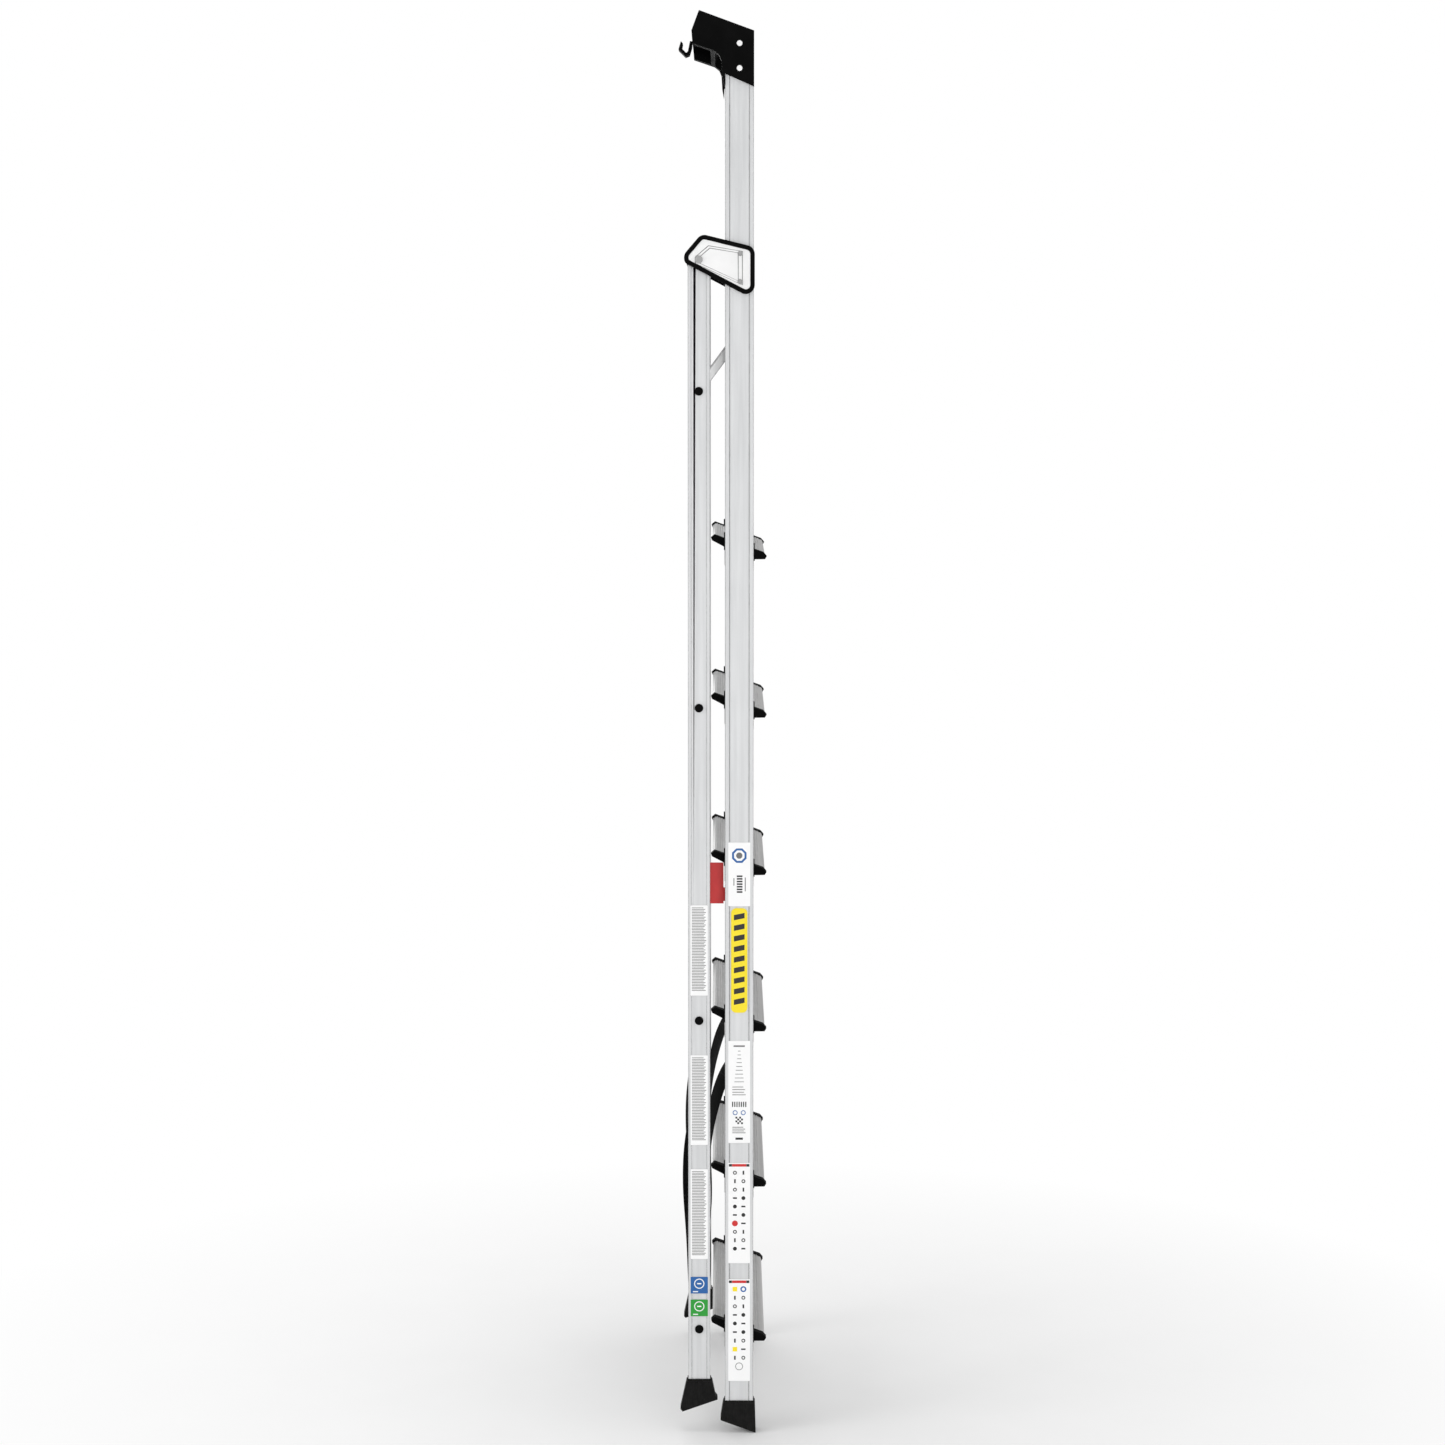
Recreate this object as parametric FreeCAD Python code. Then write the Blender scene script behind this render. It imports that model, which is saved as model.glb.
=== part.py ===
"""Folding platform step ladder, stored folded and upright.

Millimetres. +Z is up, the climbing side faces -Y, the supporting frame is on the +Y side,
and X runs across the treads. The ladder is drawn folded: the climbing stiles are vertical,
z = 0 is the front edge of their soles, and x = 0 is the plane of symmetry.
Shapes are first drawn with y = 0 on the centre line of the climbing stiles. save() moves them
so that the origin is the middle of the folded ladder's depth.
"""
import FreeCAD, Part
import os
from math import atan, atan2, cos, degrees, hypot, radians, sin, tan

Vec = FreeCAD.Vector
X_AXIS = Vec(1, 0, 0)
Y_AXIS = Vec(0, 1, 0)
ORIGIN = Vec(0, 0, 0)

# ---- driving dimensions ----------------------------------------------------------------
# angles of the two frames when the ladder stands open
FRONT_LEAN = 20.0
REAR_LEAN = 19.1
FOLD = FRONT_LEAN + REAR_LEAN

# climbing frame
STILE_DEPTH = 45.0
STILE_THICK = 25.0
STILE_BOTTOM = 30.0
RAIL_ABOVE_HINGE = 342.0
WALL = 1.8
GROOVE_WIDTH = 31.0
GROOVE_DEPTH = 0.7
FLOOR_INNER_WIDTH = 493.8
SPLAY = 0.0455

# treads
TREAD_COUNT = 6
TREAD_PITCH = 251.9
FIRST_TREAD_Z = 167.0
TREAD_BACK = 43.0
TREAD_FRONT = 45.5
TREAD_DROP = 14.5
TREAD_INSET = 2.0
GRIP_RIB_PITCH = 4.0
GRIP_RIB_WIDTH = 2.2
GRIP_RIB_HEIGHT = 0.9
SKIN = 2.2
CAP_LENGTH = 16.0
CAP_WALL = 4.0
CAP_FLANGE = 3.0
CAP_FLANGE_MARGIN = 2.0
CAP_FLANGE_RISE = 9.6
CAP_FLANGE_FALL = 19.0
BRACKET_LENGTH = 30.0
BRACKET_THICK = 2.5
BRACKET_RISE = 24.0
BRACKET_RIVET_R = 3.2

# supporting frame
FRAME_SPACING = 64.0
REAR_DEPTH = 35.0
REAR_THICK = 20.0
REAR_INSET = 2.0
HINGE_ABOVE_PLATFORM = 211.0
REAR_TOP_ABOVE_HINGE = 15.0
REAR_BOTTOM = 62.0
CROSSBAR_R = 9.0
CROSSBAR_ABOVE_PLATFORM = 6.0
CROSSBAR_LOW_Z = 167.0
CROSSBAR_COUNT = 4
PLUG_R = 6.8
PLUG_HEIGHT = 3.0

# feet
FOOT_WALL = 3.0
FRONT_FOOT_TOP = 47.7
FRONT_TOE = 4.2
FRONT_HEEL = 7.4
REAR_FOOT_TOP = 82.4
REAR_TOE = 12.0
COLLAR_HEIGHT = 3.5

# joint plates at the main hinge
PLATE_THICK = 3.0
RIM_THICK = 5.0
RIM_WIDTH = 7.0
PLATE_CORNER_R = 14.0
HINGE_PIN_R = 5.0
PIN_HEAD_R = 6.2
PIN_HEAD = 2.4
PIN_FIT = 0.06
SPACER_R = 11.0
SPACER_THICK = 1.6

# platform
PLATFORM_LENGTH = 245.0
PLATFORM_STEP_LOSS = 2.4
PLATFORM_TOP = 13.2
PLATFORM_UNDER = 5.5
PLATFORM_SIDE_GAP = 9.0
PLATFORM_RAIL = 6.0
PLATFORM_SKIN = 2.4
PLATFORM_HEEL = 13.0
PLATFORM_RIB_PITCH = 14.0
PLATFORM_PIN_R = 6.0
END_CAP = 14.0

# link bars that carry the platform
LINK_ON_PLATFORM = 93.0
LINK_WIDTH = 13.0
LINK_THICK = 3.0
LINK_GAP = 5.0
LINK_EYE_R = 10.0
SPIGOT_R = 6.0
STUD_R = 3.0
SIDE_CLEARANCE = 0.4

# top tray and bucket hook
TRAY_ABOVE_STILE = 12.9
TRAY_BACK = 63.6
TRAY_WALL = 3.5
TRAY_CHEEK_DROP = 86.6
TRAY_WELL_DEPTH = 28.0
TRAY_WELL_FRONT = 26.0
TRAY_WELL_COUNT = 3
TOOL_HOLE_Y = 6.0
TOOL_HOLE_COUNT = 6
TOOL_HOLE_PITCH = 38.0
TOOL_HOLE_R = 7.0
TRAY_RIVET_R = 4.5
TRAY_RIVET_DROPS = (57.4, 18.9)
HOOK_THICK = 4.5
HOOK_WIDTH = 42.0
HOOK_BEHIND_TRAY = 33.9

# spreader straps: points (y, z) from the anchor down to the lowest point and up again
STRAP_WIDTH = 25.0
STRAP_THICK = 2.0
STRAP_SIDE_GAP = 5.5
STRAP_DOWN = [(12, 602), (24, 574), (40, 526), (50, 464), (52, 396), (48, 330), (45, 262), (50, 208), (58, 187)]
STRAP_UP = [(72, 187), (80, 208), (82.5, 260), (82, 330), (80.5, 398), (79.5, 466), (75, 532), (71, 590), (67, 628)]
STRAP_TURN = (65.0, 181.0)
ANCHOR_R = 3.0
ANCHOR_HEAD_R = 8.0
STRAP_EYE_R = 6.5

# loose information card behind the climbing stile
CARD_LOW_Z = 853.0
CARD_SIZE = (36.0, 66.0)
CARD_THICK = 0.8
CARD_TAB = 9.0

# ---- worked-out places -----------------------------------------------------------------
TILT = degrees(atan(SPLAY))
INNER_HALF = FLOOR_INNER_WIDTH / 2
SLOPE = tan(radians(FRONT_LEAN))
PLATFORM_SURFACE_Z = FIRST_TREAD_Z + TREAD_PITCH * TREAD_COUNT - PLATFORM_STEP_LOSS
PLATFORM_PIVOT_Z = PLATFORM_SURFACE_Z - PLATFORM_TOP / cos(radians(FRONT_LEAN))
HINGE_Z = PLATFORM_PIVOT_Z + HINGE_ABOVE_PLATFORM
STILE_TOP = HINGE_Z + RAIL_ABOVE_HINGE
CROSSBAR_TOP_Z = PLATFORM_PIVOT_Z + CROSSBAR_ABOVE_PLATFORM
CROSSBAR_PITCH = (CROSSBAR_TOP_Z - CROSSBAR_LOW_Z) / (CROSSBAR_COUNT - 1)
REAR_ANCHOR_Z = CROSSBAR_TOP_Z - 2 * CROSSBAR_PITCH - CROSSBAR_R - ANCHOR_HEAD_R - 5.0
FRONT_SOLE_FRONT = STILE_DEPTH / 2 + FRONT_TOE
FRONT_SOLE_BACK = STILE_DEPTH / 2 + FRONT_HEEL
REAR_SOLE_HALF = REAR_DEPTH / 2 + REAR_TOE
TRAY_FRONT = -STILE_DEPTH / 2 - 0.3
TRAY_TOP_FRONT_Z = STILE_TOP + TRAY_ABOVE_STILE
TRAY_TOP_BACK_Z = TRAY_TOP_FRONT_Z + (TRAY_BACK - TRAY_FRONT) * SLOPE
HOOK_REACH = TRAY_BACK + HOOK_BEHIND_TRAY
NOSE_OUT = 2.5
NOSE_DROP = 4.0
NOSE = TREAD_FRONT + NOSE_OUT
FRONT_REACH = NOSE * cos(radians(FRONT_LEAN)) - NOSE_DROP * sin(radians(FRONT_LEAN))
Y_CENTRE = (HOOK_REACH - FRONT_REACH) / 2


def inner_x(z):
    """Distance from the middle plane to the stiles' inner faces at height z."""
    return INNER_HALF - SPLAY * z


PLATFORM_HALF_WIDTH = inner_x(PLATFORM_PIVOT_Z + PLATFORM_LENGTH + END_CAP) - PLATFORM_SIDE_GAP
LINK_INNER_X = PLATFORM_HALF_WIDTH + LINK_GAP
STRAP_CENTRE_X = inner_x(STRAP_UP[-1][1]) - STRAP_SIDE_GAP - STRAP_WIDTH / 2


def crossbar_z(i):
    return CROSSBAR_TOP_Z - CROSSBAR_PITCH * i


def tread_z(i):
    """Height where tread i's standing surface crosses the stile's centre line."""
    return FIRST_TREAD_Z + TREAD_PITCH * i


# ---- helpers ---------------------------------------------------------------------------
def save(name, shape):
    moved = shape.copy()
    moved.translate(Vec(0, -Y_CENTRE, 0))
    moved.exportStep("parts/%s.step" % name)


def prism(points, x0, x1):
    """A solid between two planes of constant x, from its outline as (y, z) points."""
    corners = [Vec(x0, y, z) for y, z in points]
    face = Part.Face(Part.makePolygon(corners + [corners[0]]))
    return face.extrude(Vec(x1 - x0, 0, 0))


def box(x0, x1, y0, y1, z0, z1):
    return Part.makeBox(x1 - x0, y1 - y0, z1 - z0, Vec(x0, y0, z0))


def rod(x0, x1, y, z, r):
    """A round bar along X."""
    return Part.makeCylinder(r, x1 - x0, Vec(x0, y, z), X_AXIS)


def mirrored(shape):
    return shape.mirror(ORIGIN, X_AXIS)


def splayed(shape):
    """Lean a shape drawn against an upright stile, x = 0 on its inner face, to its place on the +X side."""
    placed = shape.copy()
    placed.rotate(ORIGIN, Y_AXIS, -TILT)
    placed.translate(Vec(INNER_HALF, 0, 0))
    return placed


def beyond_inner_face(z0, z1):
    """Everything outside the +X stiles' inner faces between two heights."""
    return splayed(box(0, 60, -150, 250, z0, z1))


def save_pair(name, shape):
    save(name + "_right", shape)
    save(name + "_left", mirrored(shape))


def both(shape):
    return [shape, mirrored(shape)]


def sloped(shape, z):
    """Tip a shape drawn level, with y forward as -Y, by the climbing frame's lean about (0, z)."""
    turned = shape.copy()
    turned.translate(Vec(0, 0, z))
    turned.rotate(Vec(0, 0, z), X_AXIS, FRONT_LEAN)
    return turned


def rounded(points, radius):
    """A closed wire in the plane x = 0 through (y, z) corners, each rounded."""
    edges = []
    starts = []
    ends = []
    count = len(points)
    for i in range(count):
        here = Vec(0, *points[i])
        before = Vec(0, *points[i - 1]) - here
        after = Vec(0, *points[(i + 1) % count]) - here
        half = before.getAngle(after) / 2
        cut = min(radius / tan(half), 0.45 * before.Length, 0.45 * after.Length)
        real = cut * tan(half)
        first = here + before * (cut / before.Length)
        last = here + after * (cut / after.Length)
        middle = before * (1 / before.Length) + after * (1 / after.Length)
        middle.normalize()
        top = here + middle * (real / sin(half) - real)
        starts.append(first)
        ends.append(last)
        edges.append(Part.Arc(first, top, last).toShape())
    lines = [Part.LineSegment(ends[i - 1], starts[i]).toShape() for i in range(count)]
    ordered = []
    for line, arc in zip(lines, edges):
        ordered += [line, arc]
    return Part.Wire(ordered)


def plate(points, radius, x0, x1):
    """A flat plate with rounded corners between two planes of constant x."""
    face = Part.Face(rounded(points, radius))
    face.translate(Vec(x0, 0, 0))
    return face.extrude(Vec(x1 - x0, 0, 0))


def shifted_inward(points, amount):
    """The same convex outline, each side moved towards its middle."""
    cy = sum(p[0] for p in points) / len(points)
    cz = sum(p[1] for p in points) / len(points)
    lines = []
    for i in range(len(points)):
        a = points[i]
        b = points[(i + 1) % len(points)]
        length = hypot(b[0] - a[0], b[1] - a[1])
        normal = (-(b[1] - a[1]) / length, (b[0] - a[0]) / length)
        if (cy - a[0]) * normal[0] + (cz - a[1]) * normal[1] < 0:
            normal = (-normal[0], -normal[1])
        lines.append((a[0] + normal[0] * amount, a[1] + normal[1] * amount, b[0] - a[0], b[1] - a[1]))
    corners = []
    for i in range(len(lines)):
        y1, z1, dy1, dz1 = lines[i - 1]
        y2, z2, dy2, dz2 = lines[i]
        t = ((y2 - y1) * dz2 - (z2 - z1) * dy2) / (dy1 * dz2 - dz1 * dy2)
        corners.append((y1 + dy1 * t, z1 + dz1 * t))
    return corners


# ---- stiles ----------------------------------------------------------------------------
def extruded_stile(x0, thick, depth, y, z0, z1):
    """A box section with a shallow groove down the outside."""
    outside = box(x0, x0 + thick, y - depth / 2, y + depth / 2, z0, z1)
    hollow = box(x0 + WALL, x0 + thick - WALL - GROOVE_DEPTH, y - depth / 2 + WALL, y + depth / 2 - WALL, z0, z1)
    half_groove = GROOVE_WIDTH / STILE_DEPTH * depth / 2
    groove = box(x0 + thick - GROOVE_DEPTH, x0 + thick, y - half_groove, y + half_groove, z0, z1)
    return outside.cut(hollow).cut(groove)


def make_stiles():
    front = splayed(extruded_stile(0, STILE_THICK, STILE_DEPTH, 0, STILE_BOTTOM, STILE_TOP))
    save_pair("front_stile", front)
    top = HINGE_Z + REAR_TOP_ABOVE_HINGE
    rear = splayed(extruded_stile(REAR_INSET, REAR_THICK, REAR_DEPTH, FRAME_SPACING, REAR_BOTTOM, top))
    rear = rear.cut(rod(0, INNER_HALF + 60, FRAME_SPACING, HINGE_Z, HINGE_PIN_R + PIN_FIT))
    save_pair("rear_stile", rear)


# ---- feet ------------------------------------------------------------------------------
def sole_distance():
    """Distance from the main hinge to the climbing frame's sole plane."""
    lean = radians(FRONT_LEAN)
    return (HINGE_Z - (FRAME_SPACING + FRONT_SOLE_FRONT) * tan(lean)) * cos(lean)


def front_sole_z(y):
    """Height of the climbing frame's sole, which is level when the frame leans."""
    return (y + FRONT_SOLE_FRONT) * SLOPE


def rear_sole_z(y):
    """Height of the supporting frame's sole, level with the other when the ladder is open."""
    lean = radians(REAR_LEAN)
    return HINGE_Z - sole_distance() / cos(lean) - (y - FRAME_SPACING) * tan(lean)


def level_cut(foot, sole_z):
    """Trim a splayed foot to its level sole, given as a height for each y, and to z = 0."""
    low = -150.0
    high = 250.0
    under = prism([(low, sole_z(low)), (high, sole_z(high)), (high, -300), (low, -300)], 0, 2 * INNER_HALF)
    floor = box(0, 2 * INNER_HALF, low, high, -300, 0)
    return foot.cut(under.fuse(floor))


def make_feet():
    half = STILE_DEPTH / 2 + FOOT_WALL
    spare = 8.0
    outline = [
        (-half, FRONT_FOOT_TOP),
        (-FRONT_SOLE_FRONT, 0),
        (-FRONT_SOLE_FRONT, -spare),
        (FRONT_SOLE_BACK, -spare),
        (FRONT_SOLE_BACK, front_sole_z(FRONT_SOLE_BACK)),
        (half, FRONT_FOOT_TOP),
    ]
    body = prism(outline, -FOOT_WALL, STILE_THICK + FOOT_WALL)
    collar = box(-1.5, STILE_THICK + 1.5, 1.5 - half, half - 1.5, FRONT_FOOT_TOP, FRONT_FOOT_TOP + COLLAR_HEIGHT)
    socket = box(0, STILE_THICK, -STILE_DEPTH / 2, STILE_DEPTH / 2, STILE_BOTTOM, FRONT_FOOT_TOP + 20)
    foot = splayed(body.fuse(collar).cut(socket))
    save_pair("front_foot", level_cut(foot, front_sole_z))

    half = REAR_DEPTH / 2 + FOOT_WALL
    back = FRAME_SPACING + REAR_SOLE_HALF
    near = FRAME_SPACING - REAR_SOLE_HALF
    outline = [
        (FRAME_SPACING - half, REAR_FOOT_TOP),
        (near + 4, rear_sole_z(near) + 5),
        (near, rear_sole_z(near)),
        (near, rear_sole_z(near) - spare),
        (back - 2, rear_sole_z(back - 2) - spare),
        (back - 2, rear_sole_z(back - 2)),
        (back + 1, rear_sole_z(back) + 4),
        (FRAME_SPACING + half, REAR_FOOT_TOP),
    ]
    x0 = REAR_INSET
    x1 = REAR_INSET + REAR_THICK
    body = prism(outline, x0 - FOOT_WALL, x1 + FOOT_WALL)
    collar_top = REAR_FOOT_TOP + COLLAR_HEIGHT
    low = FRAME_SPACING - half + 1.5
    high = FRAME_SPACING + half - 1.5
    collar = box(x0 - 1.5, x1 + 1.5, low, high, REAR_FOOT_TOP, collar_top)
    socket = box(x0, x1, FRAME_SPACING - REAR_DEPTH / 2, FRAME_SPACING + REAR_DEPTH / 2, REAR_BOTTOM, collar_top)
    save_pair("rear_foot", level_cut(splayed(body.fuse(collar).cut(socket)), rear_sole_z))


# ---- treads ----------------------------------------------------------------------------
def tread_outline():
    """The tread extrusion's outline, level: forward is -Y, the standing surface is z = 0."""
    top = -TREAD_INSET
    points = [(TREAD_BACK, -7), (TREAD_BACK - 3, top)]
    reach = TREAD_BACK - 5
    ribs = int((reach + TREAD_FRONT - 7.5) / GRIP_RIB_PITCH)
    for i in range(ribs):
        y = reach - i * GRIP_RIB_PITCH
        points += [(y, top), (y, top + GRIP_RIB_HEIGHT)]
        points += [(y - GRIP_RIB_WIDTH, top + GRIP_RIB_HEIGHT), (y - GRIP_RIB_WIDTH, top)]
    points += [(3 - TREAD_FRONT, top), (-TREAD_FRONT, -5), (-TREAD_FRONT + 1, -9)]
    points += [(-30, -13.2), (18, -TREAD_DROP), (21, -11), (TREAD_BACK - 2.5, -9)]
    return points


def tread_hollows():
    top = -TREAD_INSET - SKIN
    front = [(-2, top), (-36, top), (-40, -6.4), (-30, -11), (-2, -TREAD_DROP + SKIN)]
    back = [(2, top), (2, -TREAD_DROP + SKIN), (16, -TREAD_DROP + SKIN), (20, -8.6), (36, -7), (36, top)]
    return [front, back]


def cap_outline():
    """The plastic end cap's outline, level, a little larger than the tread."""
    return [
        (TREAD_BACK + 2.5, -6.6),
        (TREAD_BACK - 1.2, 0),
        (7 - NOSE, 0),
        (-NOSE, -NOSE_DROP),
        (1.1 - NOSE, -9.4),
        (17 - NOSE, -15.4),
        (18.7, -17),
        (21.8, -12.9),
        (TREAD_BACK - 0.6, -10.1),
    ]


def make_tread(i):
    z = tread_z(i)
    half = inner_x(z) - CAP_WALL
    tread = prism(tread_outline(), -half, half)
    for hollow in tread_hollows():
        tread = tread.cut(prism(hollow, -half, half))
    save("tread_%d" % (i + 1), sloped(tread, z))

    cap = prism(cap_outline(), half + CAP_WALL - CAP_LENGTH, half + CAP_WALL + 5)
    pocket = prism(tread_outline(), 0, half)
    for hollow in tread_hollows():
        pocket = pocket.cut(prism(hollow, 0, half + 1))
    cap = sloped(cap.cut(pocket), z)
    reach = STILE_DEPTH / 2 + CAP_FLANGE_MARGIN
    flange = [
        (-reach, z - reach * SLOPE + CAP_FLANGE_RISE),
        (-reach, z - reach * SLOPE - CAP_FLANGE_FALL),
        (reach, z + reach * SLOPE - CAP_FLANGE_FALL),
        (reach, z + reach * SLOPE + CAP_FLANGE_RISE),
    ]
    inner = inner_x(z)
    cap = cap.fuse(prism(flange, inner - CAP_FLANGE, inner + 5)).cut(beyond_inner_face(z - 90, z + 90))
    save_pair("tread_cap_%d" % (i + 1), cap)


def tread_bracket(i):
    """A bent metal angle riveted to the stile's inner face under each end cap."""
    z = tread_z(i) - CAP_FLANGE_FALL
    half = STILE_DEPTH / 2 + 1.0
    upright = [
        (-half, z - half * SLOPE - 15),
        (half, z + half * SLOPE - BRACKET_RISE),
        (half, z + half * SLOPE),
        (-half, z - half * SLOPE),
    ]
    inner = inner_x(z)
    leaf = prism(upright, inner - BRACKET_THICK, inner + 5)
    top = -CAP_FLANGE_FALL * cos(radians(FRONT_LEAN))
    under = top - BRACKET_THICK
    arm = prism([(-18, under), (16, under), (16, top), (-18, top)], 0, BRACKET_LENGTH)
    arm.translate(Vec(inner - BRACKET_LENGTH, 0, 0))
    arm = sloped(arm, tread_z(i))
    angle = leaf.fuse(arm).cut(beyond_inner_face(z - 90, z + 60))
    rivets = []
    for y in (-10.0, 12.0):
        rivet = rod(inner - BRACKET_THICK - 1.6, inner - BRACKET_THICK, y, z + y * SLOPE - 11, BRACKET_RIVET_R)
        rivets.append(rivet)
    return [angle] + rivets


def make_treads():
    brackets = []
    for i in range(TREAD_COUNT):
        make_tread(i)
        for solid in tread_bracket(i):
            brackets += both(solid)
    save("tread_brackets", Part.makeCompound(brackets))


# ---- main hinge ------------------------------------------------------------------------
def plate_outline():
    """Corners of a joint plate as (y, z): it reaches from the climbing stile past the hinge."""
    front = -STILE_DEPTH / 2 - 1.5
    back = FRAME_SPACING + 23
    return [
        (back, HINGE_Z + 9),
        (back - 27, HINGE_Z + 40.5),
        (front, HINGE_Z + 20),
        (front, HINGE_Z - 62),
        (back, HINGE_Z - 4),
    ]


def make_joint_plates():
    outline = plate_outline()
    inside = shifted_inward(outline, RIM_WIDTH)
    face = STILE_THICK
    rim = plate(outline, PLATE_CORNER_R, face, face + RIM_THICK)
    rim = rim.cut(plate(inside, PLATE_CORNER_R - RIM_WIDTH, face + 1.2, face + RIM_THICK))
    hole = rod(0, INNER_HALF + 60, FRAME_SPACING, HINGE_Z, HINGE_PIN_R)
    rim = splayed(rim).cut(hole)
    save_pair("joint_rim", rim)
    panel = plate(inside, PLATE_CORNER_R - RIM_WIDTH, face + 1.2, face + 1.2 + PLATE_THICK)
    save_pair("joint_plate", splayed(panel).cut(hole))

    x_face = inner_x(HINGE_Z) + face + 1.2 + PLATE_THICK
    pin = rod(inner_x(HINGE_Z) - 2, x_face, FRAME_SPACING, HINGE_Z, HINGE_PIN_R)
    outer_head = rod(x_face - 1, x_face + PIN_HEAD, FRAME_SPACING, HINGE_Z, PIN_HEAD_R)
    inner_head = rod(inner_x(HINGE_Z) - 2 - PIN_HEAD, inner_x(HINGE_Z) - 2, FRAME_SPACING, HINGE_Z, PIN_HEAD_R)
    solid_panel = splayed(plate(inside, PLATE_CORNER_R - RIM_WIDTH, face + 1.2, face + 1.2 + PLATE_THICK))
    outer_head = outer_head.cut(solid_panel)
    save_pair("hinge_pin", pin.fuse(outer_head).fuse(inner_head).cut(rim))

    gap_low = inner_x(HINGE_Z) + REAR_INSET + REAR_THICK
    middle = (gap_low + inner_x(HINGE_Z) + STILE_THICK) / 2
    washer = rod(middle - SPACER_THICK / 2, middle + SPACER_THICK / 2, FRAME_SPACING, HINGE_Z, SPACER_R)
    washer = washer.cut(rod(0, INNER_HALF + 60, FRAME_SPACING, HINGE_Z, HINGE_PIN_R))
    save("hinge_spacers", Part.makeCompound(both(washer)))

    rivets = []
    for z in (HINGE_Z - 34, HINGE_Z + 10):
        head = Part.makeCylinder(4.0, 1.8, Vec(face + 1.2 + PLATE_THICK, -1, z), X_AXIS)
        rivets += both(splayed(head))
    save("plate_rivets", Part.makeCompound(rivets))


# ---- supporting frame's crossbars ------------------------------------------------------
def make_crossbars():
    plugs = []
    for i in range(CROSSBAR_COUNT):
        z = crossbar_z(i)
        reach = inner_x(z) + REAR_INSET + 5
        if i == 0:
            tube = rod(-LINK_INNER_X + 2, LINK_INNER_X - 2, FRAME_SPACING, z, CROSSBAR_R)
            bar = tube.fuse(rod(-reach, reach, FRAME_SPACING, z, SPIGOT_R))
        else:
            bar = rod(-reach, reach, FRAME_SPACING, z, CROSSBAR_R)
        wall = splayed(box(REAR_INSET, 60, -150, 250, z - 60, z + 60))
        bar = bar.cut(wall).cut(mirrored(wall))
        save("rear_crossbar_%d" % (i + 1), bar)
        base = REAR_INSET + REAR_THICK - GROOVE_DEPTH
        disc = Part.makeCylinder(PLUG_R, PLUG_HEIGHT, Vec(base, FRAME_SPACING, z), X_AXIS)
        disc = disc.makeFillet(1.2, [disc.Edges[0]])
        plugs += both(splayed(disc))
    save("crossbar_plugs", Part.makeCompound(plugs))


# ---- platform --------------------------------------------------------------------------
def make_platform():
    """Drawn folded up between the climbing stiles, its standing surface towards -Y."""
    low = PLATFORM_PIVOT_Z - PLATFORM_HEEL
    high = PLATFORM_PIVOT_Z + PLATFORM_LENGTH
    rail_x = PLATFORM_HALF_WIDTH - PLATFORM_RAIL
    deck = box(-rail_x, rail_x, -PLATFORM_TOP, PLATFORM_SKIN - PLATFORM_TOP, low, high)
    ribs = int((high - low - 20) / PLATFORM_RIB_PITCH)
    for i in range(ribs + 1):
        z = low + 8 + i * PLATFORM_RIB_PITCH
        deck = deck.fuse(box(-rail_x, rail_x, PLATFORM_SKIN - PLATFORM_TOP, -2.0, z, z + 2.2))
        deck = deck.cut(box(-rail_x, rail_x, -PLATFORM_TOP, 0.8 - PLATFORM_TOP, z + 5, z + 8.5))
    save("platform_deck", deck)

    rail = box(rail_x, PLATFORM_HALF_WIDTH, -PLATFORM_TOP, PLATFORM_UNDER, low, high)
    hollow = box(rail_x, PLATFORM_HALF_WIDTH - 2.4, PLATFORM_SKIN - PLATFORM_TOP, PLATFORM_UNDER - 2.4, low, high)
    bore = rod(0, INNER_HALF, 0, PLATFORM_PIVOT_Z, PLATFORM_PIN_R + PIN_FIT)
    save_pair("platform_rail", rail.cut(hollow).cut(bore))

    lip = box(-PLATFORM_HALF_WIDTH, PLATFORM_HALF_WIDTH, -PLATFORM_TOP, PLATFORM_UNDER, high, high + END_CAP)
    save("platform_end_cap", lip)
    nose = box(-rail_x, rail_x, -PLATFORM_TOP, PLATFORM_UNDER - 1, low - 4, low)
    save("platform_nose", nose)

    pins = []
    studs = []
    pin_end = inner_x(PLATFORM_PIVOT_Z) + 5
    pin = rod(PLATFORM_HALF_WIDTH - 5, pin_end, 0, PLATFORM_PIVOT_Z, PLATFORM_PIN_R)
    boss = rod(PLATFORM_HALF_WIDTH + 1, pin_end, 0, PLATFORM_PIVOT_Z, 11.0)
    pin = pin.fuse(boss).cut(beyond_inner_face(PLATFORM_PIVOT_Z - 60, PLATFORM_PIVOT_Z + 60))
    pins += both(pin)
    save("platform_pivots", Part.makeCompound(pins))
    stud_end = LINK_INNER_X - SIDE_CLEARANCE
    stud = rod(PLATFORM_HALF_WIDTH, stud_end, 0, PLATFORM_PIVOT_Z + LINK_ON_PLATFORM, 5.0)
    studs += both(stud)
    save("platform_studs", Part.makeCompound(studs))


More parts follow.
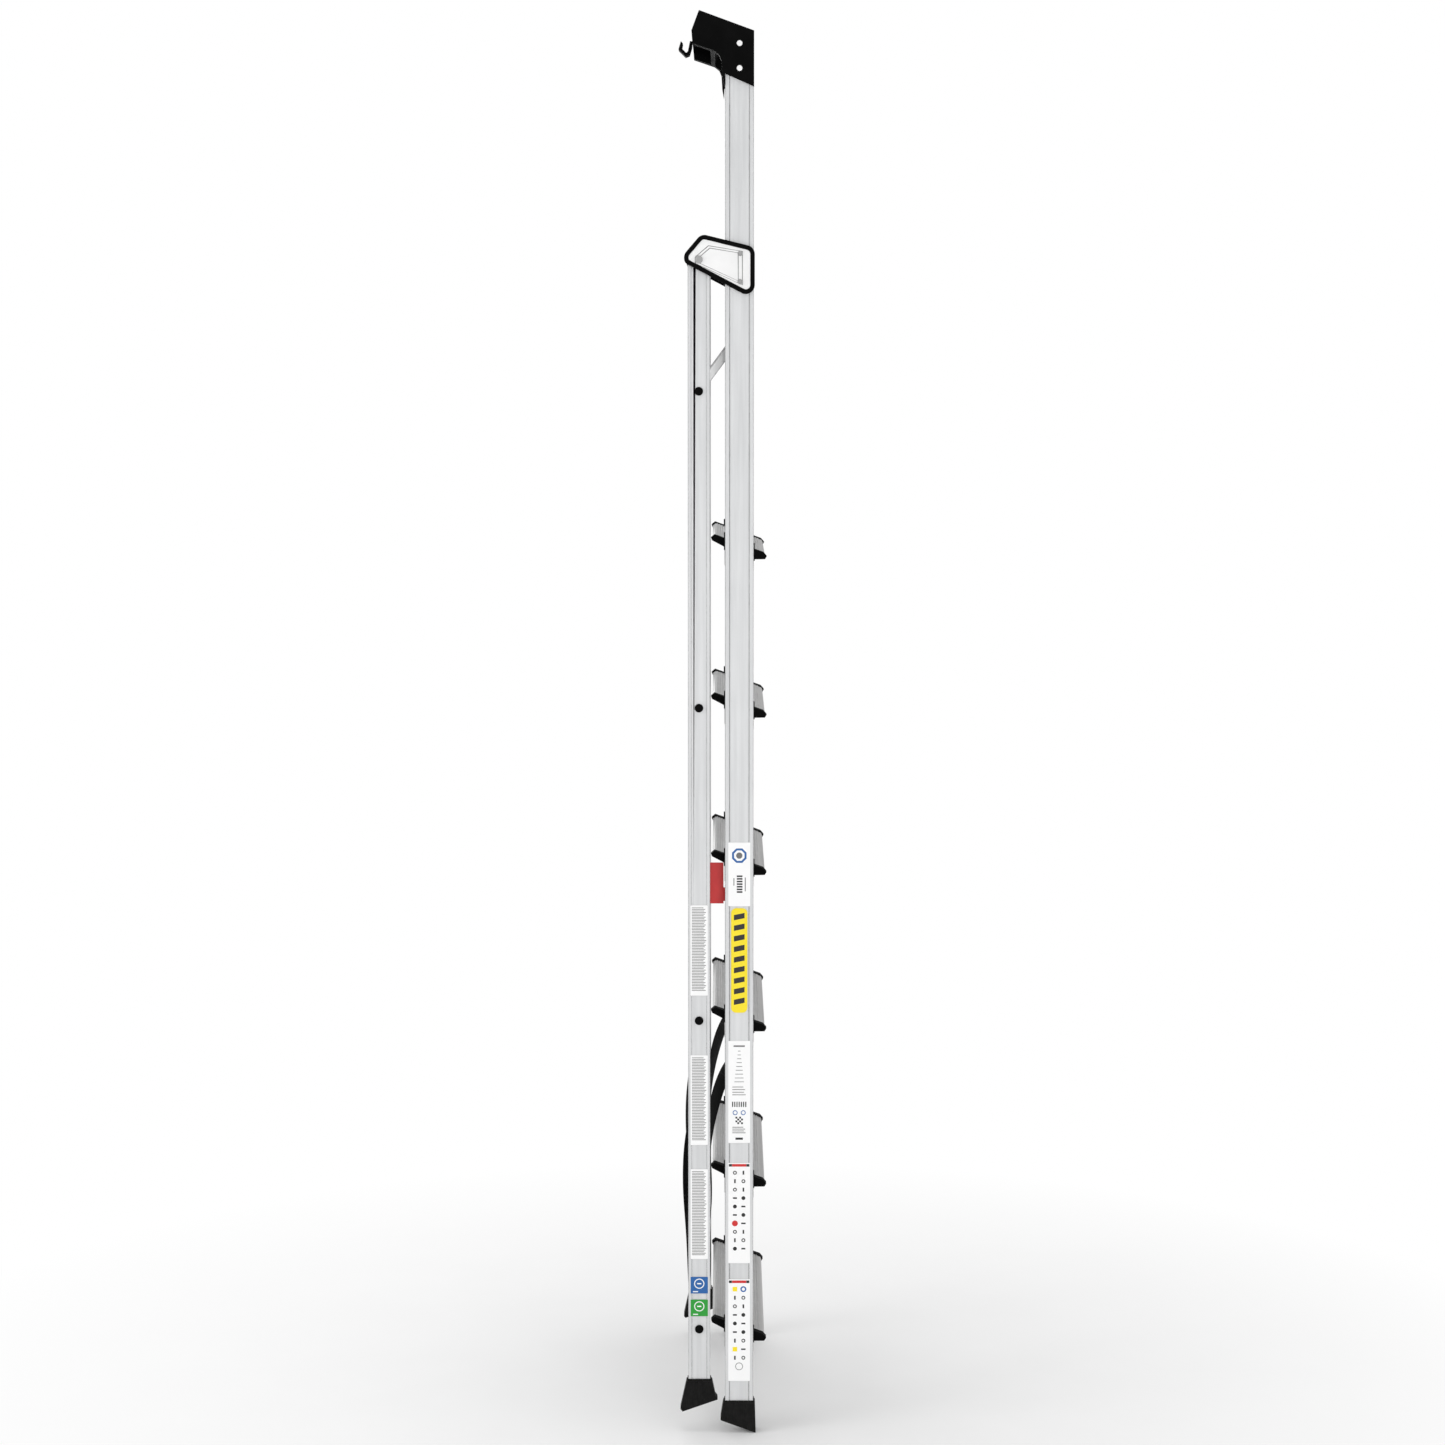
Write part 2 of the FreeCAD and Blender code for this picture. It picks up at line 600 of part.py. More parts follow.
def make_links():
    """Flat bars from the top crossbar to the platform, on the crossbar's turned-down ends."""
    foot = Vec(LINK_INNER_X, FRAME_SPACING, CROSSBAR_TOP_Z)
    head = Vec(LINK_INNER_X, 0, PLATFORM_PIVOT_Z + LINK_ON_PLATFORM)
    along = head - foot
    length = along.Length
    angle = degrees(atan2(along.z, along.y))
    bar = box(0, LINK_THICK, 0, length, -LINK_WIDTH / 2, LINK_WIDTH / 2)
    bar = bar.fuse(rod(0, LINK_THICK, 0, 0, LINK_EYE_R))
    bar = bar.fuse(rod(0, LINK_THICK, length, 0, LINK_WIDTH / 2))
    bar = bar.cut(rod(-1, LINK_THICK + 1, 0, 0, SPIGOT_R + PIN_FIT))
    bar = bar.fuse(rod(LINK_THICK, LINK_THICK + 2, length, 0, 4.5))
    bar.rotate(ORIGIN, X_AXIS, angle)
    bar.translate(foot)
    save_pair("platform_link", bar)


# ---- top tray and hook -----------------------------------------------------------------
def tray_outline():
    """The tray's side view as (y, z): a sloping top over a cheek on the stile and a rear box."""
    cheek_front = TRAY_TOP_FRONT_Z - TRAY_CHEEK_DROP
    cheek_back = cheek_front + STILE_DEPTH * SLOPE
    back = TRAY_BACK
    top = TRAY_TOP_BACK_Z
    edge = STILE_DEPTH / 2
    return [
        (back, top),
        (TRAY_FRONT, TRAY_TOP_FRONT_Z),
        (TRAY_FRONT, cheek_front),
        (edge + 0.8, cheek_back + 4),
        (edge + 1.5, cheek_back - 14),
        (edge + 4.5, cheek_back + 2),
        (edge + 5.9, top - 77.4),
        (edge + 9.5, top - 68.8),
        (edge + 17.3, top - 62.7),
        (back + 10.2, top - 51.2),
        (back + 11.7, top - 31.1),
    ]


def make_tray():
    middle_z = TRAY_TOP_FRONT_Z - TRAY_FRONT * SLOPE
    half_width = inner_x(TRAY_TOP_FRONT_Z - TRAY_CHEEK_DROP) + STILE_THICK + TRAY_WALL + 1
    low = TRAY_TOP_FRONT_Z - 2 * TRAY_CHEEK_DROP
    tray = prism(tray_outline(), -half_width, half_width)
    stile = splayed(box(0, STILE_THICK, -STILE_DEPTH / 2, STILE_DEPTH / 2, low, STILE_TOP))
    tray = tray.cut(stile).cut(mirrored(stile))
    cheek = splayed(box(STILE_THICK + TRAY_WALL, 60, -150, 250, low, STILE_TOP + 200))
    tray = tray.cut(cheek).cut(mirrored(cheek))
    inside = inner_x(STILE_TOP) - TRAY_WALL
    front_under = box(-inside, inside, -STILE_DEPTH, STILE_DEPTH / 2, -2 * TRAY_CHEEK_DROP, -TRAY_WALL)
    tray = tray.cut(sloped(front_under, middle_z))
    behind = TRAY_BACK / cos(radians(FRONT_LEAN)) - TRAY_WALL
    pitch = 2 * (inside - TRAY_WALL) / TRAY_WELL_COUNT
    for i in range(TRAY_WELL_COUNT):
        x0 = -(inside - TRAY_WALL) + i * pitch + TRAY_WALL / 2
        well = box(x0, x0 + pitch - TRAY_WALL, TRAY_WELL_FRONT, behind, -TRAY_WELL_DEPTH, 10)
        tray = tray.cut(sloped(well, middle_z))
    hollow = box(-inside, inside, TRAY_WELL_FRONT + 4, behind - 1, -90, -TRAY_WELL_DEPTH - TRAY_WALL)
    tray = tray.cut(sloped(hollow, middle_z))
    for i in range(TOOL_HOLE_COUNT):
        x = (i - (TOOL_HOLE_COUNT - 1) / 2) * TOOL_HOLE_PITCH
        hole = Part.makeCylinder(TOOL_HOLE_R, 60, Vec(x, TOOL_HOLE_Y, -40), Vec(0, 0, 1))
        tray = tray.cut(sloped(hole, middle_z))
    save("tool_tray", tray)

    rivets = []
    for drop in TRAY_RIVET_DROPS:
        centre = Vec(STILE_THICK + TRAY_WALL, 0, TRAY_TOP_FRONT_Z - drop)
        head = Part.makeCylinder(TRAY_RIVET_R, 2.0, centre, X_AXIS)
        rivets += both(splayed(head.makeFillet(0.8, [head.Edges[0]])))
    save("tray_rivets", Part.makeCompound(rivets))


def make_hook():
    """A bent strip under the tray's rear edge, open at the top to take a bucket's handle."""
    back = TRAY_BACK
    low = TRAY_TOP_BACK_Z - 54.0
    outline = [
        (back + 11.6, low + 18.2),
        (back + 15.4, low + 18.7),
        (back + 18.7, low + 2.7),
        (back + 21.4, low),
        (back + 28.4, low + 7.0),
        (back + 26.8, low + 15.2),
        (back + 30.0, low + 18.7),
        (HOOK_REACH, low + 5.7),
        (back + 22.4, low - HOOK_THICK - 1.0),
        (back + 15.9, low - 2.8),
        (back + 12.0, low + 10.2),
    ]
    save("bucket_hook", prism(outline, -HOOK_WIDTH / 2, HOOK_WIDTH / 2))


# ---- straps ----------------------------------------------------------------------------
def band(points):
    """A webbing strip that follows straight runs joined by tangent arcs, flat across X."""
    spots = [Vec(0, y, z) for y, z in points]
    edges = []
    start = spots[0]
    for i in range(1, len(spots) - 1):
        before = spots[i - 1] - spots[i]
        after = spots[i + 1] - spots[i]
        cut = 0.45 * min(before.Length, after.Length)
        half = before.getAngle(after) / 2
        radius = cut * tan(half)
        first = spots[i] + before * (cut / before.Length)
        last = spots[i] + after * (cut / after.Length)
        middle = before * (1 / before.Length) + after * (1 / after.Length)
        middle.normalize()
        top = spots[i] + middle * (radius / sin(half) - radius)
        edges.append(Part.LineSegment(start, first).toShape())
        edges.append(Part.Arc(first, top, last).toShape())
        start = last
        print("strap bend radius %.0f mm" % radius)
    edges.append(Part.LineSegment(start, spots[-1]).toShape())
    path = Part.Wire(edges)
    direction = spots[1] - spots[0]
    direction.normalize()
    side = Vec(0, -direction.z, direction.y)
    near = STRAP_CENTRE_X - STRAP_WIDTH / 2
    far = STRAP_CENTRE_X + STRAP_WIDTH / 2
    corners = [
        spots[0] + side * (STRAP_THICK / 2) + Vec(near, 0, 0),
        spots[0] - side * (STRAP_THICK / 2) + Vec(near, 0, 0),
        spots[0] - side * (STRAP_THICK / 2) + Vec(far, 0, 0),
        spots[0] + side * (STRAP_THICK / 2) + Vec(far, 0, 0),
    ]
    section = Part.makePolygon(corners + [corners[0]])
    strip = path.makePipeShell([section], True, False)
    print("strap length %.0f mm, volume %.0f of %.0f" % (
        path.Length, strip.Volume, path.Length * STRAP_WIDTH * STRAP_THICK))
    return strip


def make_straps():
    near = STRAP_CENTRE_X - STRAP_WIDTH / 2
    far = STRAP_CENTRE_X + STRAP_WIDTH / 2
    y, z = STRAP_DOWN[0]
    eye = rod(near, far, y, z, STRAP_EYE_R)
    down = band(STRAP_DOWN).fuse(eye).cut(rod(near - 1, far + 1, y, z, ANCHOR_R + 0.3))
    save_pair("strap_front_leg", down)
    save_pair("strap_rear_leg", band(STRAP_UP))

    for name, (ay, az) in (("front", STRAP_DOWN[0]), ("rear", (FRAME_SPACING, REAR_ANCHOR_Z))):
        inset = 0 if name == "front" else REAR_INSET
        wall = splayed(box(inset, 60, -150, 250, az - 60, az + 60))
        pin = rod(near - 4, inner_x(az) + 8, ay, az, ANCHOR_R)
        head = rod(near - 4, near - 1.5, ay, az, ANCHOR_HEAD_R)
        base = rod(far + 1.0, inner_x(az) + 8, ay, az, ANCHOR_HEAD_R)
        anchor = pin.fuse(head).fuse(base).cut(wall)
        save("strap_anchors_" + name, Part.makeCompound(both(anchor)))


def make_card():
    """A printed card behind the -X climbing stile, stuck to its inner face by a tab."""
    width, height = CARD_SIZE
    near = STILE_DEPTH / 2 + CAP_FLANGE_MARGIN + 0.5
    card = box(-CARD_THICK, 0, near, near + width, CARD_LOW_Z, CARD_LOW_Z + height)
    tab = box(-CARD_THICK, 0, near - CARD_TAB, near, CARD_LOW_Z + 4, CARD_LOW_Z + 26)
    save("info_card", mirrored(splayed(card.fuse(tab))))


def main():
    os.makedirs("parts", exist_ok=True)
    make_stiles()
    make_feet()
    make_treads()
    make_joint_plates()
    make_crossbars()
    make_platform()
    make_links()
    make_tray()
    make_hook()
    make_straps()
    make_card()
    print("row y of the stile centre line: %.4f" % -Y_CENTRE)
    print("hinge z %.4f, platform pivot z %.4f" % (HINGE_Z, PLATFORM_PIVOT_Z))
    print("tray top z %.4f, rear anchor z %.4f" % (TRAY_TOP_BACK_Z, REAR_ANCHOR_Z))


main()
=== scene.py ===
# %% [markdown]
# # A folding platform step ladder, stored folded
#
# The ladder stands folded and upright. Its climbing frame has two extruded stiles, six treads, a tray
# and a joint plate on each side. A thinner supporting frame hangs behind it from the joint plates, and
# two webbing straps, slack while the ladder is folded, stop the frames from sliding apart.
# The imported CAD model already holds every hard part, so this lesson loads it first, keeps its box,
# and then adds the camera, the straps, the printed labels and the finishes.

# %% Load the frame
from math import cos, exp, pi, radians, sin

import bmesh
import bpy
from mathutils import Matrix, Vector


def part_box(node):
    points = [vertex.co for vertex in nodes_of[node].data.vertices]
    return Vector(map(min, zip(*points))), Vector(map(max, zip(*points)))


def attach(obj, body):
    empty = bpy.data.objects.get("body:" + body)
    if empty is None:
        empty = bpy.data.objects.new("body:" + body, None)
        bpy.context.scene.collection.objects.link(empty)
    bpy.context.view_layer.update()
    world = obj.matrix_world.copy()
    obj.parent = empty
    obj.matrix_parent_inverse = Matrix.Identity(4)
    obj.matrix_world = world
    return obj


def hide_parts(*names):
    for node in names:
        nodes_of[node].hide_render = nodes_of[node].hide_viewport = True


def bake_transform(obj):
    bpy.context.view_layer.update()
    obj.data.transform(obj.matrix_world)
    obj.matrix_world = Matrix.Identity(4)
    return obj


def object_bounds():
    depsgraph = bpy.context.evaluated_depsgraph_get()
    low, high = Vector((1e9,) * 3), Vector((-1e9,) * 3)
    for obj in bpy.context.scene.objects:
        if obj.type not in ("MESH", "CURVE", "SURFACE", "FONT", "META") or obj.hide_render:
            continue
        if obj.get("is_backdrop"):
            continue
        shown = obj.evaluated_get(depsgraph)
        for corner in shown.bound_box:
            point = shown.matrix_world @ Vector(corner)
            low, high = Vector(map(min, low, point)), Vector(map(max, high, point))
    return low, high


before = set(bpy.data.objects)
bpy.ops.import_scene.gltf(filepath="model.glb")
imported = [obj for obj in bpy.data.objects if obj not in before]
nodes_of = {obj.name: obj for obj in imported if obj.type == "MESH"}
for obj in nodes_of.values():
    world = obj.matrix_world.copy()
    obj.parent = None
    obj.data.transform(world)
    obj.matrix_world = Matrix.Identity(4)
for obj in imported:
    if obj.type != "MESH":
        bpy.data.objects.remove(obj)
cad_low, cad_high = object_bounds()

print("box in metres:", [round(v, 4) for v in cad_high - cad_low])

# %% [markdown]
# Places come from the CAD nodes. The middle of a climbing stile's depth is the line that the design is
# drawn about, and every other place is worked out from it. The stiles lean inward a little, which is
# written as metres in for each metre up.

# %% Shared places
TAPER = 0.0455


def middle(node):
    low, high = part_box(node)
    return (low + high) / 2


FRONT_Y = middle("front_stile_left").y
REAR_Y = middle("rear_stile_left").y
HINGE_Z = middle("hinge_pin_left").z
print("stile lines at y =", round(FRONT_Y, 4), round(REAR_Y, 4), "hinge at z =", round(HINGE_Z, 4))

# %% A helper for meshes


def piece_from(bm, name):
    """A new object in the scene that holds this mesh."""
    mesh = bpy.data.meshes.new(name)
    bm.to_mesh(mesh)
    bm.free()
    piece = bpy.data.objects.new(name, mesh)
    bpy.context.scene.collection.objects.link(piece)
    return piece


# %% [markdown]
# ## Camera
#
# The ladder is seen from its side. A long lens keeps the stiles almost parallel, and the camera stands
# above the middle of the ladder, tipped down, so that both frames are seen slightly from above.

# %% Camera
CAMERA_PLACE = (-5.520, -0.0002, 1.774)
CAMERA_TIP = 6.768
CAMERA_LENS = 83.86


def make_camera():
    data = bpy.data.cameras.new("side_camera")
    data.lens = CAMERA_LENS
    camera = bpy.data.objects.new("side_camera", data)
    camera.location = CAMERA_PLACE
    camera.rotation_euler = (radians(90 - CAMERA_TIP), 0, radians(-90))
    bpy.context.scene.collection.objects.link(camera)
    bpy.context.scene.camera = camera
    print("camera", CAMERA_PLACE, "lens", CAMERA_LENS)


make_camera()

# %% [markdown]
# ## Straps
#
# Each strap is a flat webbing band, pinned to a climbing stile and to a rear stile. Folded, it drops
# between the frames, turns at the bottom and climbs again. A curve with a bevel would give a round
# rope, so the band is a mesh swept along a smooth curve: the curve gives the line, and each ring of
# the mesh is turned about that line, because slack webbing twists.

# %% The strap's route
STRAP_WIDTH = 0.025
STRAP_THICK = 0.0016
STRAP_DOWN = [
    (0.012, 0.602), (0.024, 0.574), (0.040, 0.526), (0.050, 0.464), (0.052, 0.396),
    (0.048, 0.330), (0.045, 0.262), (0.050, 0.208), (0.058, 0.187),
]
STRAP_UP = [
    (0.072, 0.187), (0.080, 0.208), (0.0825, 0.260), (0.082, 0.330), (0.0805, 0.398),
    (0.0795, 0.466), (0.075, 0.532), (0.071, 0.590), (0.067, 0.628),
]
STRAP_TURN = (0.065, 0.181)
STRAP_END = (0.064, 0.645)


def route_points(x):
    """The route's control points at the strap's distance from the middle plane."""
    flat = STRAP_DOWN + [STRAP_TURN] + STRAP_UP + [STRAP_END]
    return [Vector((x, y + FRONT_Y, z)) for y, z in flat]


def smooth_line(name, points):
    """Points along a NURBS spline that has these control points."""
    data = bpy.data.curves.new(name, "CURVE")
    data.dimensions = "3D"
    data.resolution_u = 10
    spline = data.splines.new("NURBS")
    spline.points.add(len(points) - 1)
    for spot, place in zip(spline.points, points):
        spot.co = (*place, 1)
    spline.order_u = 3
    spline.use_endpoint_u = True
    holder = bpy.data.objects.new(name, data)
    mesh = bpy.data.meshes.new_from_object(holder)
    line = [v.co.copy() for v in mesh.vertices]
    bpy.data.meshes.remove(mesh)
    bpy.data.curves.remove(data)
    return line


def distances(line):
    """How far along the line each of its points is."""
    run = [0.0]
    for a, b in zip(line, line[1:]):
        run.append(run[-1] + (b - a).length)
    return run


# %% [markdown]
# The band's section has thin edges, as a woven selvedge has. The twist is nothing at the pins, where
# the band goes round them, grows to its largest a little below them, and dies out on the way down.

# %% Sweep the band
EDGE = 0.0012
TWIST_DOWN = 0.75
TWIST_REACH = 0.055
TWIST_UP = 1.0
TWIST_UP_AT = 0.23
TWIST_UP_SPREAD = 0.09


def twist_at(s, total):
    """The band's turn about its own line, in radians, at a distance from its first pin."""
    from_first = s / TWIST_REACH
    off_peak = (total - s - TWIST_UP_AT) / TWIST_UP_SPREAD
    down = TWIST_DOWN * from_first * exp(1 - from_first)
    up = TWIST_UP * exp(-off_peak * off_peak)
    return down + up


def band_section():
    half = STRAP_WIDTH / 2
    thick = STRAP_THICK / 2
    return [
        (-half, 0), (EDGE - half, thick), (half - EDGE, thick),
        (half, 0), (half - EDGE, -thick), (EDGE - half, -thick),
    ]


def band_axes(line, run, i, side):
    """The directions across the band and out of it at a point of its line."""
    along = (line[min(i + 1, len(line) - 1)] - line[max(i - 1, 0)]).normalized()
    across = Vector((1, 0, 0))
    normal = along.cross(across)
    turn = side * twist_at(run[i], run[-1])
    wide = across * cos(turn) + normal * sin(turn)
    return wide, along.cross(wide)


def sweep_band(name, line, side):
    """A closed band along the line. side is 1 or -1: the straps twist as mirror images."""
    run = distances(line)
    section = band_section()
    bm = bmesh.new()
    uv = bm.loops.layers.uv.new("UVMap")
    rings = []
    for i, place in enumerate(line):
        wide, up = band_axes(line, run, i, side)
        rings.append([bm.verts.new(place + wide * u + up * v) for u, v in section])
    for i in range(len(rings) - 1):
        for j in range(len(section)):
            k = (j + 1) % len(section)
            face = bm.faces.new((rings[i][j], rings[i][k], rings[i + 1][k], rings[i + 1][j]))
            face.smooth = True
            spots = ((j, i), (k, i), (k, i + 1), (j, i + 1))
            for loop, (m, n) in zip(face.loops, spots):
                loop[uv].uv = (section[m][0] / STRAP_WIDTH + 0.5, run[n] / STRAP_WIDTH)
    bm.faces.new(rings[0])
    bm.faces.new(list(reversed(rings[-1])))
    bmesh.ops.recalc_face_normals(bm, faces=bm.faces)
    return piece_from(bm, name)


def strap_line(hand):
    """A strap's distance from the middle plane, the sign of its side, and its line."""
    x = middle("strap_front_leg_" + hand).x
    return x, 1 if x > 0 else -1, smooth_line("strap_line_" + hand, route_points(x))


def make_strap(hand):
    x, side, line = strap_line(hand)
    strap = sweep_band("strap_" + hand, line, side)
    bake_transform(strap)
    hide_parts("strap_front_leg_" + hand, "strap_rear_leg_" + hand)
    return strap


straps = [make_strap(hand) for hand in ("right", "left")]

# %% [markdown]
# ## Effects that several finishes share
#
# Real surfaces differ by their grain, their worn edges, the marks of hands and the dust near the
# floor, and the edge group can also paint an unbroken line of shade along corners. Each of these is a
# shader node group with named inputs and outputs, built once, so that one change here reaches every
# material that uses it. A group gives a mask or a height, and each material decides which colour or
# roughness it turns into.

# %% A helper for node groups


def new_group(name, inputs, outputs):
    """An empty shader node group. inputs are (name, socket type, default), outputs (name, type)."""
    group = bpy.data.node_groups.new(name, "ShaderNodeTree")
    for title, kind, default in inputs:
        socket = group.interface.new_socket(title, in_out="INPUT", socket_type=kind)
        if default is not None:
            socket.default_value = default
    for title, kind in outputs:
        group.interface.new_socket(title, in_out="OUTPUT", socket_type=kind)
    start = group.nodes.new("NodeGroupInput")
    end = group.nodes.new("NodeGroupOutput")
    print("group", name, "with", len(inputs), "inputs and", len(outputs), "outputs")
    return group, start, end


def math_node(tree, operation, a, b=0.0, c=None, clamp=False):
    """A Math node. a, b and c are numbers or sockets; its output socket is returned."""
    node = tree.nodes.new("ShaderNodeMath")
    node.operation = operation
    node.use_clamp = clamp
    for slot, value in zip(node.inputs, (a, b, c)):
        if isinstance(value, bpy.types.NodeSocket):
            tree.links.new(value, slot)
        elif value is not None:
            slot.default_value = value
    return node.outputs[0]


def noise_node(tree, vector, scale, detail=3.0, roughness=0.5):
    node = tree.nodes.new("ShaderNodeTexNoise")
    node.inputs["Detail"].default_value = detail
    node.inputs["Roughness"].default_value = roughness
    tree.links.new(vector, node.inputs["Vector"])
    if isinstance(scale, bpy.types.NodeSocket):
        tree.links.new(scale, node.inputs["Scale"])
    else:
        node.inputs["Scale"].default_value = scale
    return node.outputs["Fac"]


def ramp_node(tree, value, low, high, out_low=0.0, out_high=1.0):
    """A Map Range node from low..high to out_low..out_high, clamped."""
    node = tree.nodes.new("ShaderNodeMapRange")
    tree.links.new(value, node.inputs["Value"])
    node.inputs["From Min"].default_value = low
    node.inputs["From Max"].default_value = high
    node.inputs["To Min"].default_value = out_low
    node.inputs["To Max"].default_value = out_high
    return node.outputs["Result"]


# %% [markdown]
# ** Edge wear and painted edge shade.** Corners lose their finish first. The Bevel node gives the normal
# that the surface would have if its corners were round, and where that differs from the true normal
# there is an edge. Noise breaks the line up, because wear is never even. Even fills the gaps again and
# so paints an unbroken line of shade along an extrusion's corner, where the edge colour is a dark one.

# %% Edge wear and painted edge shade


def build_edge_wear_and_shade():
    inputs = [
        ("Radius", "NodeSocketFloat", 0.0012),
        ("Breakup", "NodeSocketFloat", 60.0),
        ("Even", "NodeSocketFloat", 0.0),
        ("Amount", "NodeSocketFloat", 0.5),
    ]
    group, start, end = new_group("edge_wear_and_shade", inputs, [("Mask", "NodeSocketFloat")])
    bevel = group.nodes.new("ShaderNodeBevel")
    bevel.samples = 4
    group.links.new(start.outputs["Radius"], bevel.inputs["Radius"])
    true_normal = group.nodes.new("ShaderNodeNewGeometry")
    product = group.nodes.new("ShaderNodeVectorMath")
    product.operation = "DOT_PRODUCT"
    group.links.new(bevel.outputs["Normal"], product.inputs[0])
    group.links.new(true_normal.outputs["Normal"], product.inputs[1])
    place = group.nodes.new("ShaderNodeTexCoord")
    noise = noise_node(group, place.outputs["Object"], start.outputs["Breakup"], detail=5.0)
    edge = math_node(group, "SUBTRACT", 1.0, product.outputs["Value"])
    sharp = math_node(group, "MULTIPLY", edge, 5.0, clamp=True)
    cover = math_node(group, "MAXIMUM", ramp_node(group, noise, 0.42, 0.62), start.outputs["Even"])
    broken = math_node(group, "MULTIPLY", sharp, cover)
    amount = math_node(group, "MULTIPLY", broken, start.outputs["Amount"], clamp=True)
    group.links.new(amount, end.inputs["Mask"])
    return group


EDGE_WEAR_AND_SHADE = build_edge_wear_and_shade()

# %% [markdown]
# **Drawn grain.** An extrusion carries fine straight lines from its die, all along its length. Noise
# that is stretched along one direction gives them: Density says how many noise cells there are to a
# metre along x, y and z, so a small number on one axis means lines along it.

# %% Drawn grain


def build_drawn_grain():
    inputs = [("Density", "NodeSocketVector", (900.0, 900.0, 3.0))]
    outputs = [("Fine", "NodeSocketFloat"), ("Broad", "NodeSocketFloat")]
    group, start, end = new_group("drawn_grain", inputs, outputs)
    place = group.nodes.new("ShaderNodeTexCoord")
    stretched = group.nodes.new("ShaderNodeVectorMath")
    stretched.operation = "MULTIPLY"
    group.links.new(place.outputs["Object"], stretched.inputs[0])
    group.links.new(start.outputs["Density"], stretched.inputs[1])
    fine = noise_node(group, stretched.outputs["Vector"], 1.0, detail=2.0)
    broad = noise_node(group, stretched.outputs["Vector"], 0.16, detail=4.0)
    group.links.new(fine, end.inputs["Fine"])
    group.links.new(broad, end.inputs["Broad"])
    return group


DRAWN_GRAIN = build_drawn_grain()

# %% [markdown]
# **Handling marks and dust.** Hands leave soft blotches, and dust settles low down and on what faces
# up. The first mask is large, soft noise. The second falls with height above the floor and rises with
# how far a surface faces upward.

# %% Handling marks and dust


def build_handling():
    inputs = [("Scale", "NodeSocketFloat", 9.0)]
    group, start, end = new_group("handling_marks", inputs, [("Mask", "NodeSocketFloat")])
    place = group.nodes.new("ShaderNodeTexCoord")
    scale = start.outputs["Scale"]
    noise = noise_node(group, place.outputs["Object"], scale, detail=6.0, roughness=0.62)
    group.links.new(ramp_node(group, noise, 0.38, 0.70), end.inputs["Mask"])
    return group


def build_dust():
    inputs = [("Reach", "NodeSocketFloat", 0.35)]
    group, start, end = new_group("settled_dust", inputs, [("Mask", "NodeSocketFloat")])
    place = group.nodes.new("ShaderNodeTexCoord")
    height = group.nodes.new("ShaderNodeSeparateXYZ")
    group.links.new(place.outputs["Object"], height.inputs[0])
    facing = group.nodes.new("ShaderNodeSeparateXYZ")
    geometry = group.nodes.new("ShaderNodeNewGeometry")
    group.links.new(geometry.outputs["Normal"], facing.inputs[0])
    share = math_node(group, "DIVIDE", height.outputs["Z"], start.outputs["Reach"])
    low_down = math_node(group, "SUBTRACT", 1.0, share, clamp=True)
    upward = math_node(group, "MULTIPLY", facing.outputs["Z"], 0.8, clamp=True)
    noise = noise_node(group, place.outputs["Object"], 140.0, detail=6.0, roughness=0.7)
    together = math_node(group, "ADD", math_node(group, "MULTIPLY", low_down, 0.6), upward, clamp=True)
    speckled = math_node(group, "MULTIPLY", together, ramp_node(group, noise, 0.35, 0.75))
    group.links.new(speckled, end.inputs["Mask"])
    return group


HANDLING = build_handling()
DUST = build_dust()

# %% [markdown]
# **Moulded skin.** Moulded plastic and rubber copy the fine spark-eroded texture of their mould. Two
# sizes of noise make a height for it.

# %% Moulded skin


def build_moulded():
    inputs = [("Scale", "NodeSocketFloat", 1400.0)]
    group, start, end = new_group("moulded_skin", inputs, [("Height", "NodeSocketFloat")])
    place = group.nodes.new("ShaderNodeTexCoord")
    cells = group.nodes.new("ShaderNodeTexVoronoi")
    group.links.new(place.outputs["Object"], cells.inputs["Vector"])
    group.links.new(start.outputs["Scale"], cells.inputs["Scale"])
    noise = noise_node(group, place.outputs["Object"], start.outputs["Scale"], detail=4.0)
    mixed = math_node(group, "MULTIPLY_ADD", cells.outputs["Distance"], 0.5, noise)
    group.links.new(mixed, end.inputs["Height"])
    return group


MOULDED = build_moulded()

# %% [markdown]
# ## Finishes
#
# One function lays out the material that most parts share: a base colour that varies a little,
# a roughness that varies with it, edges in a second colour, dust in a third, and a fine bump. On the
# stiles and link bars the edge colour is dark and nearly unbroken: there it is painted shade, not wear.
# Each finish below calls it with its own values. Numbers that are the same all over a surface are set
# on the shader itself.

# %% The shared layout
DUST_COLOUR = (0.52, 0.50, 0.47, 1)


def use_group(tree, group, **values):
    node = tree.nodes.new("ShaderNodeGroup")
    node.node_tree = group
    for title, value in values.items():
        node.inputs[title].default_value = value
    return node


def mix_colour(tree, share, a, b):
    """A Mix node for colours. share, a and b are values or sockets."""
    node = tree.nodes.new("ShaderNodeMix")
    node.data_type = "RGBA"
    for slot, value in ((node.inputs[0], share), (node.inputs[6], a), (node.inputs[7], b)):
        if isinstance(value, bpy.types.NodeSocket):
            tree.links.new(value, slot)
        else:
            slot.default_value = value
    return node.outputs[2]


def grey(value, warmth=0.0):
    return (value * (1 + warmth), value, value * (1 - warmth), 1)


def new_material(name):
    material = bpy.data.materials.new(name)
    material.use_nodes = True
    return material, material.node_tree, material.node_tree.nodes["Principled BSDF"]


def add_bump(tree, shader, height, depth, strength=1.0):
    bump = tree.nodes.new("ShaderNodeBump")
    bump.inputs["Strength"].default_value = strength
    bump.inputs["Distance"].default_value = depth
    tree.links.new(height, bump.inputs["Height"])
    tree.links.new(bump.outputs["Normal"], shader.inputs["Normal"])


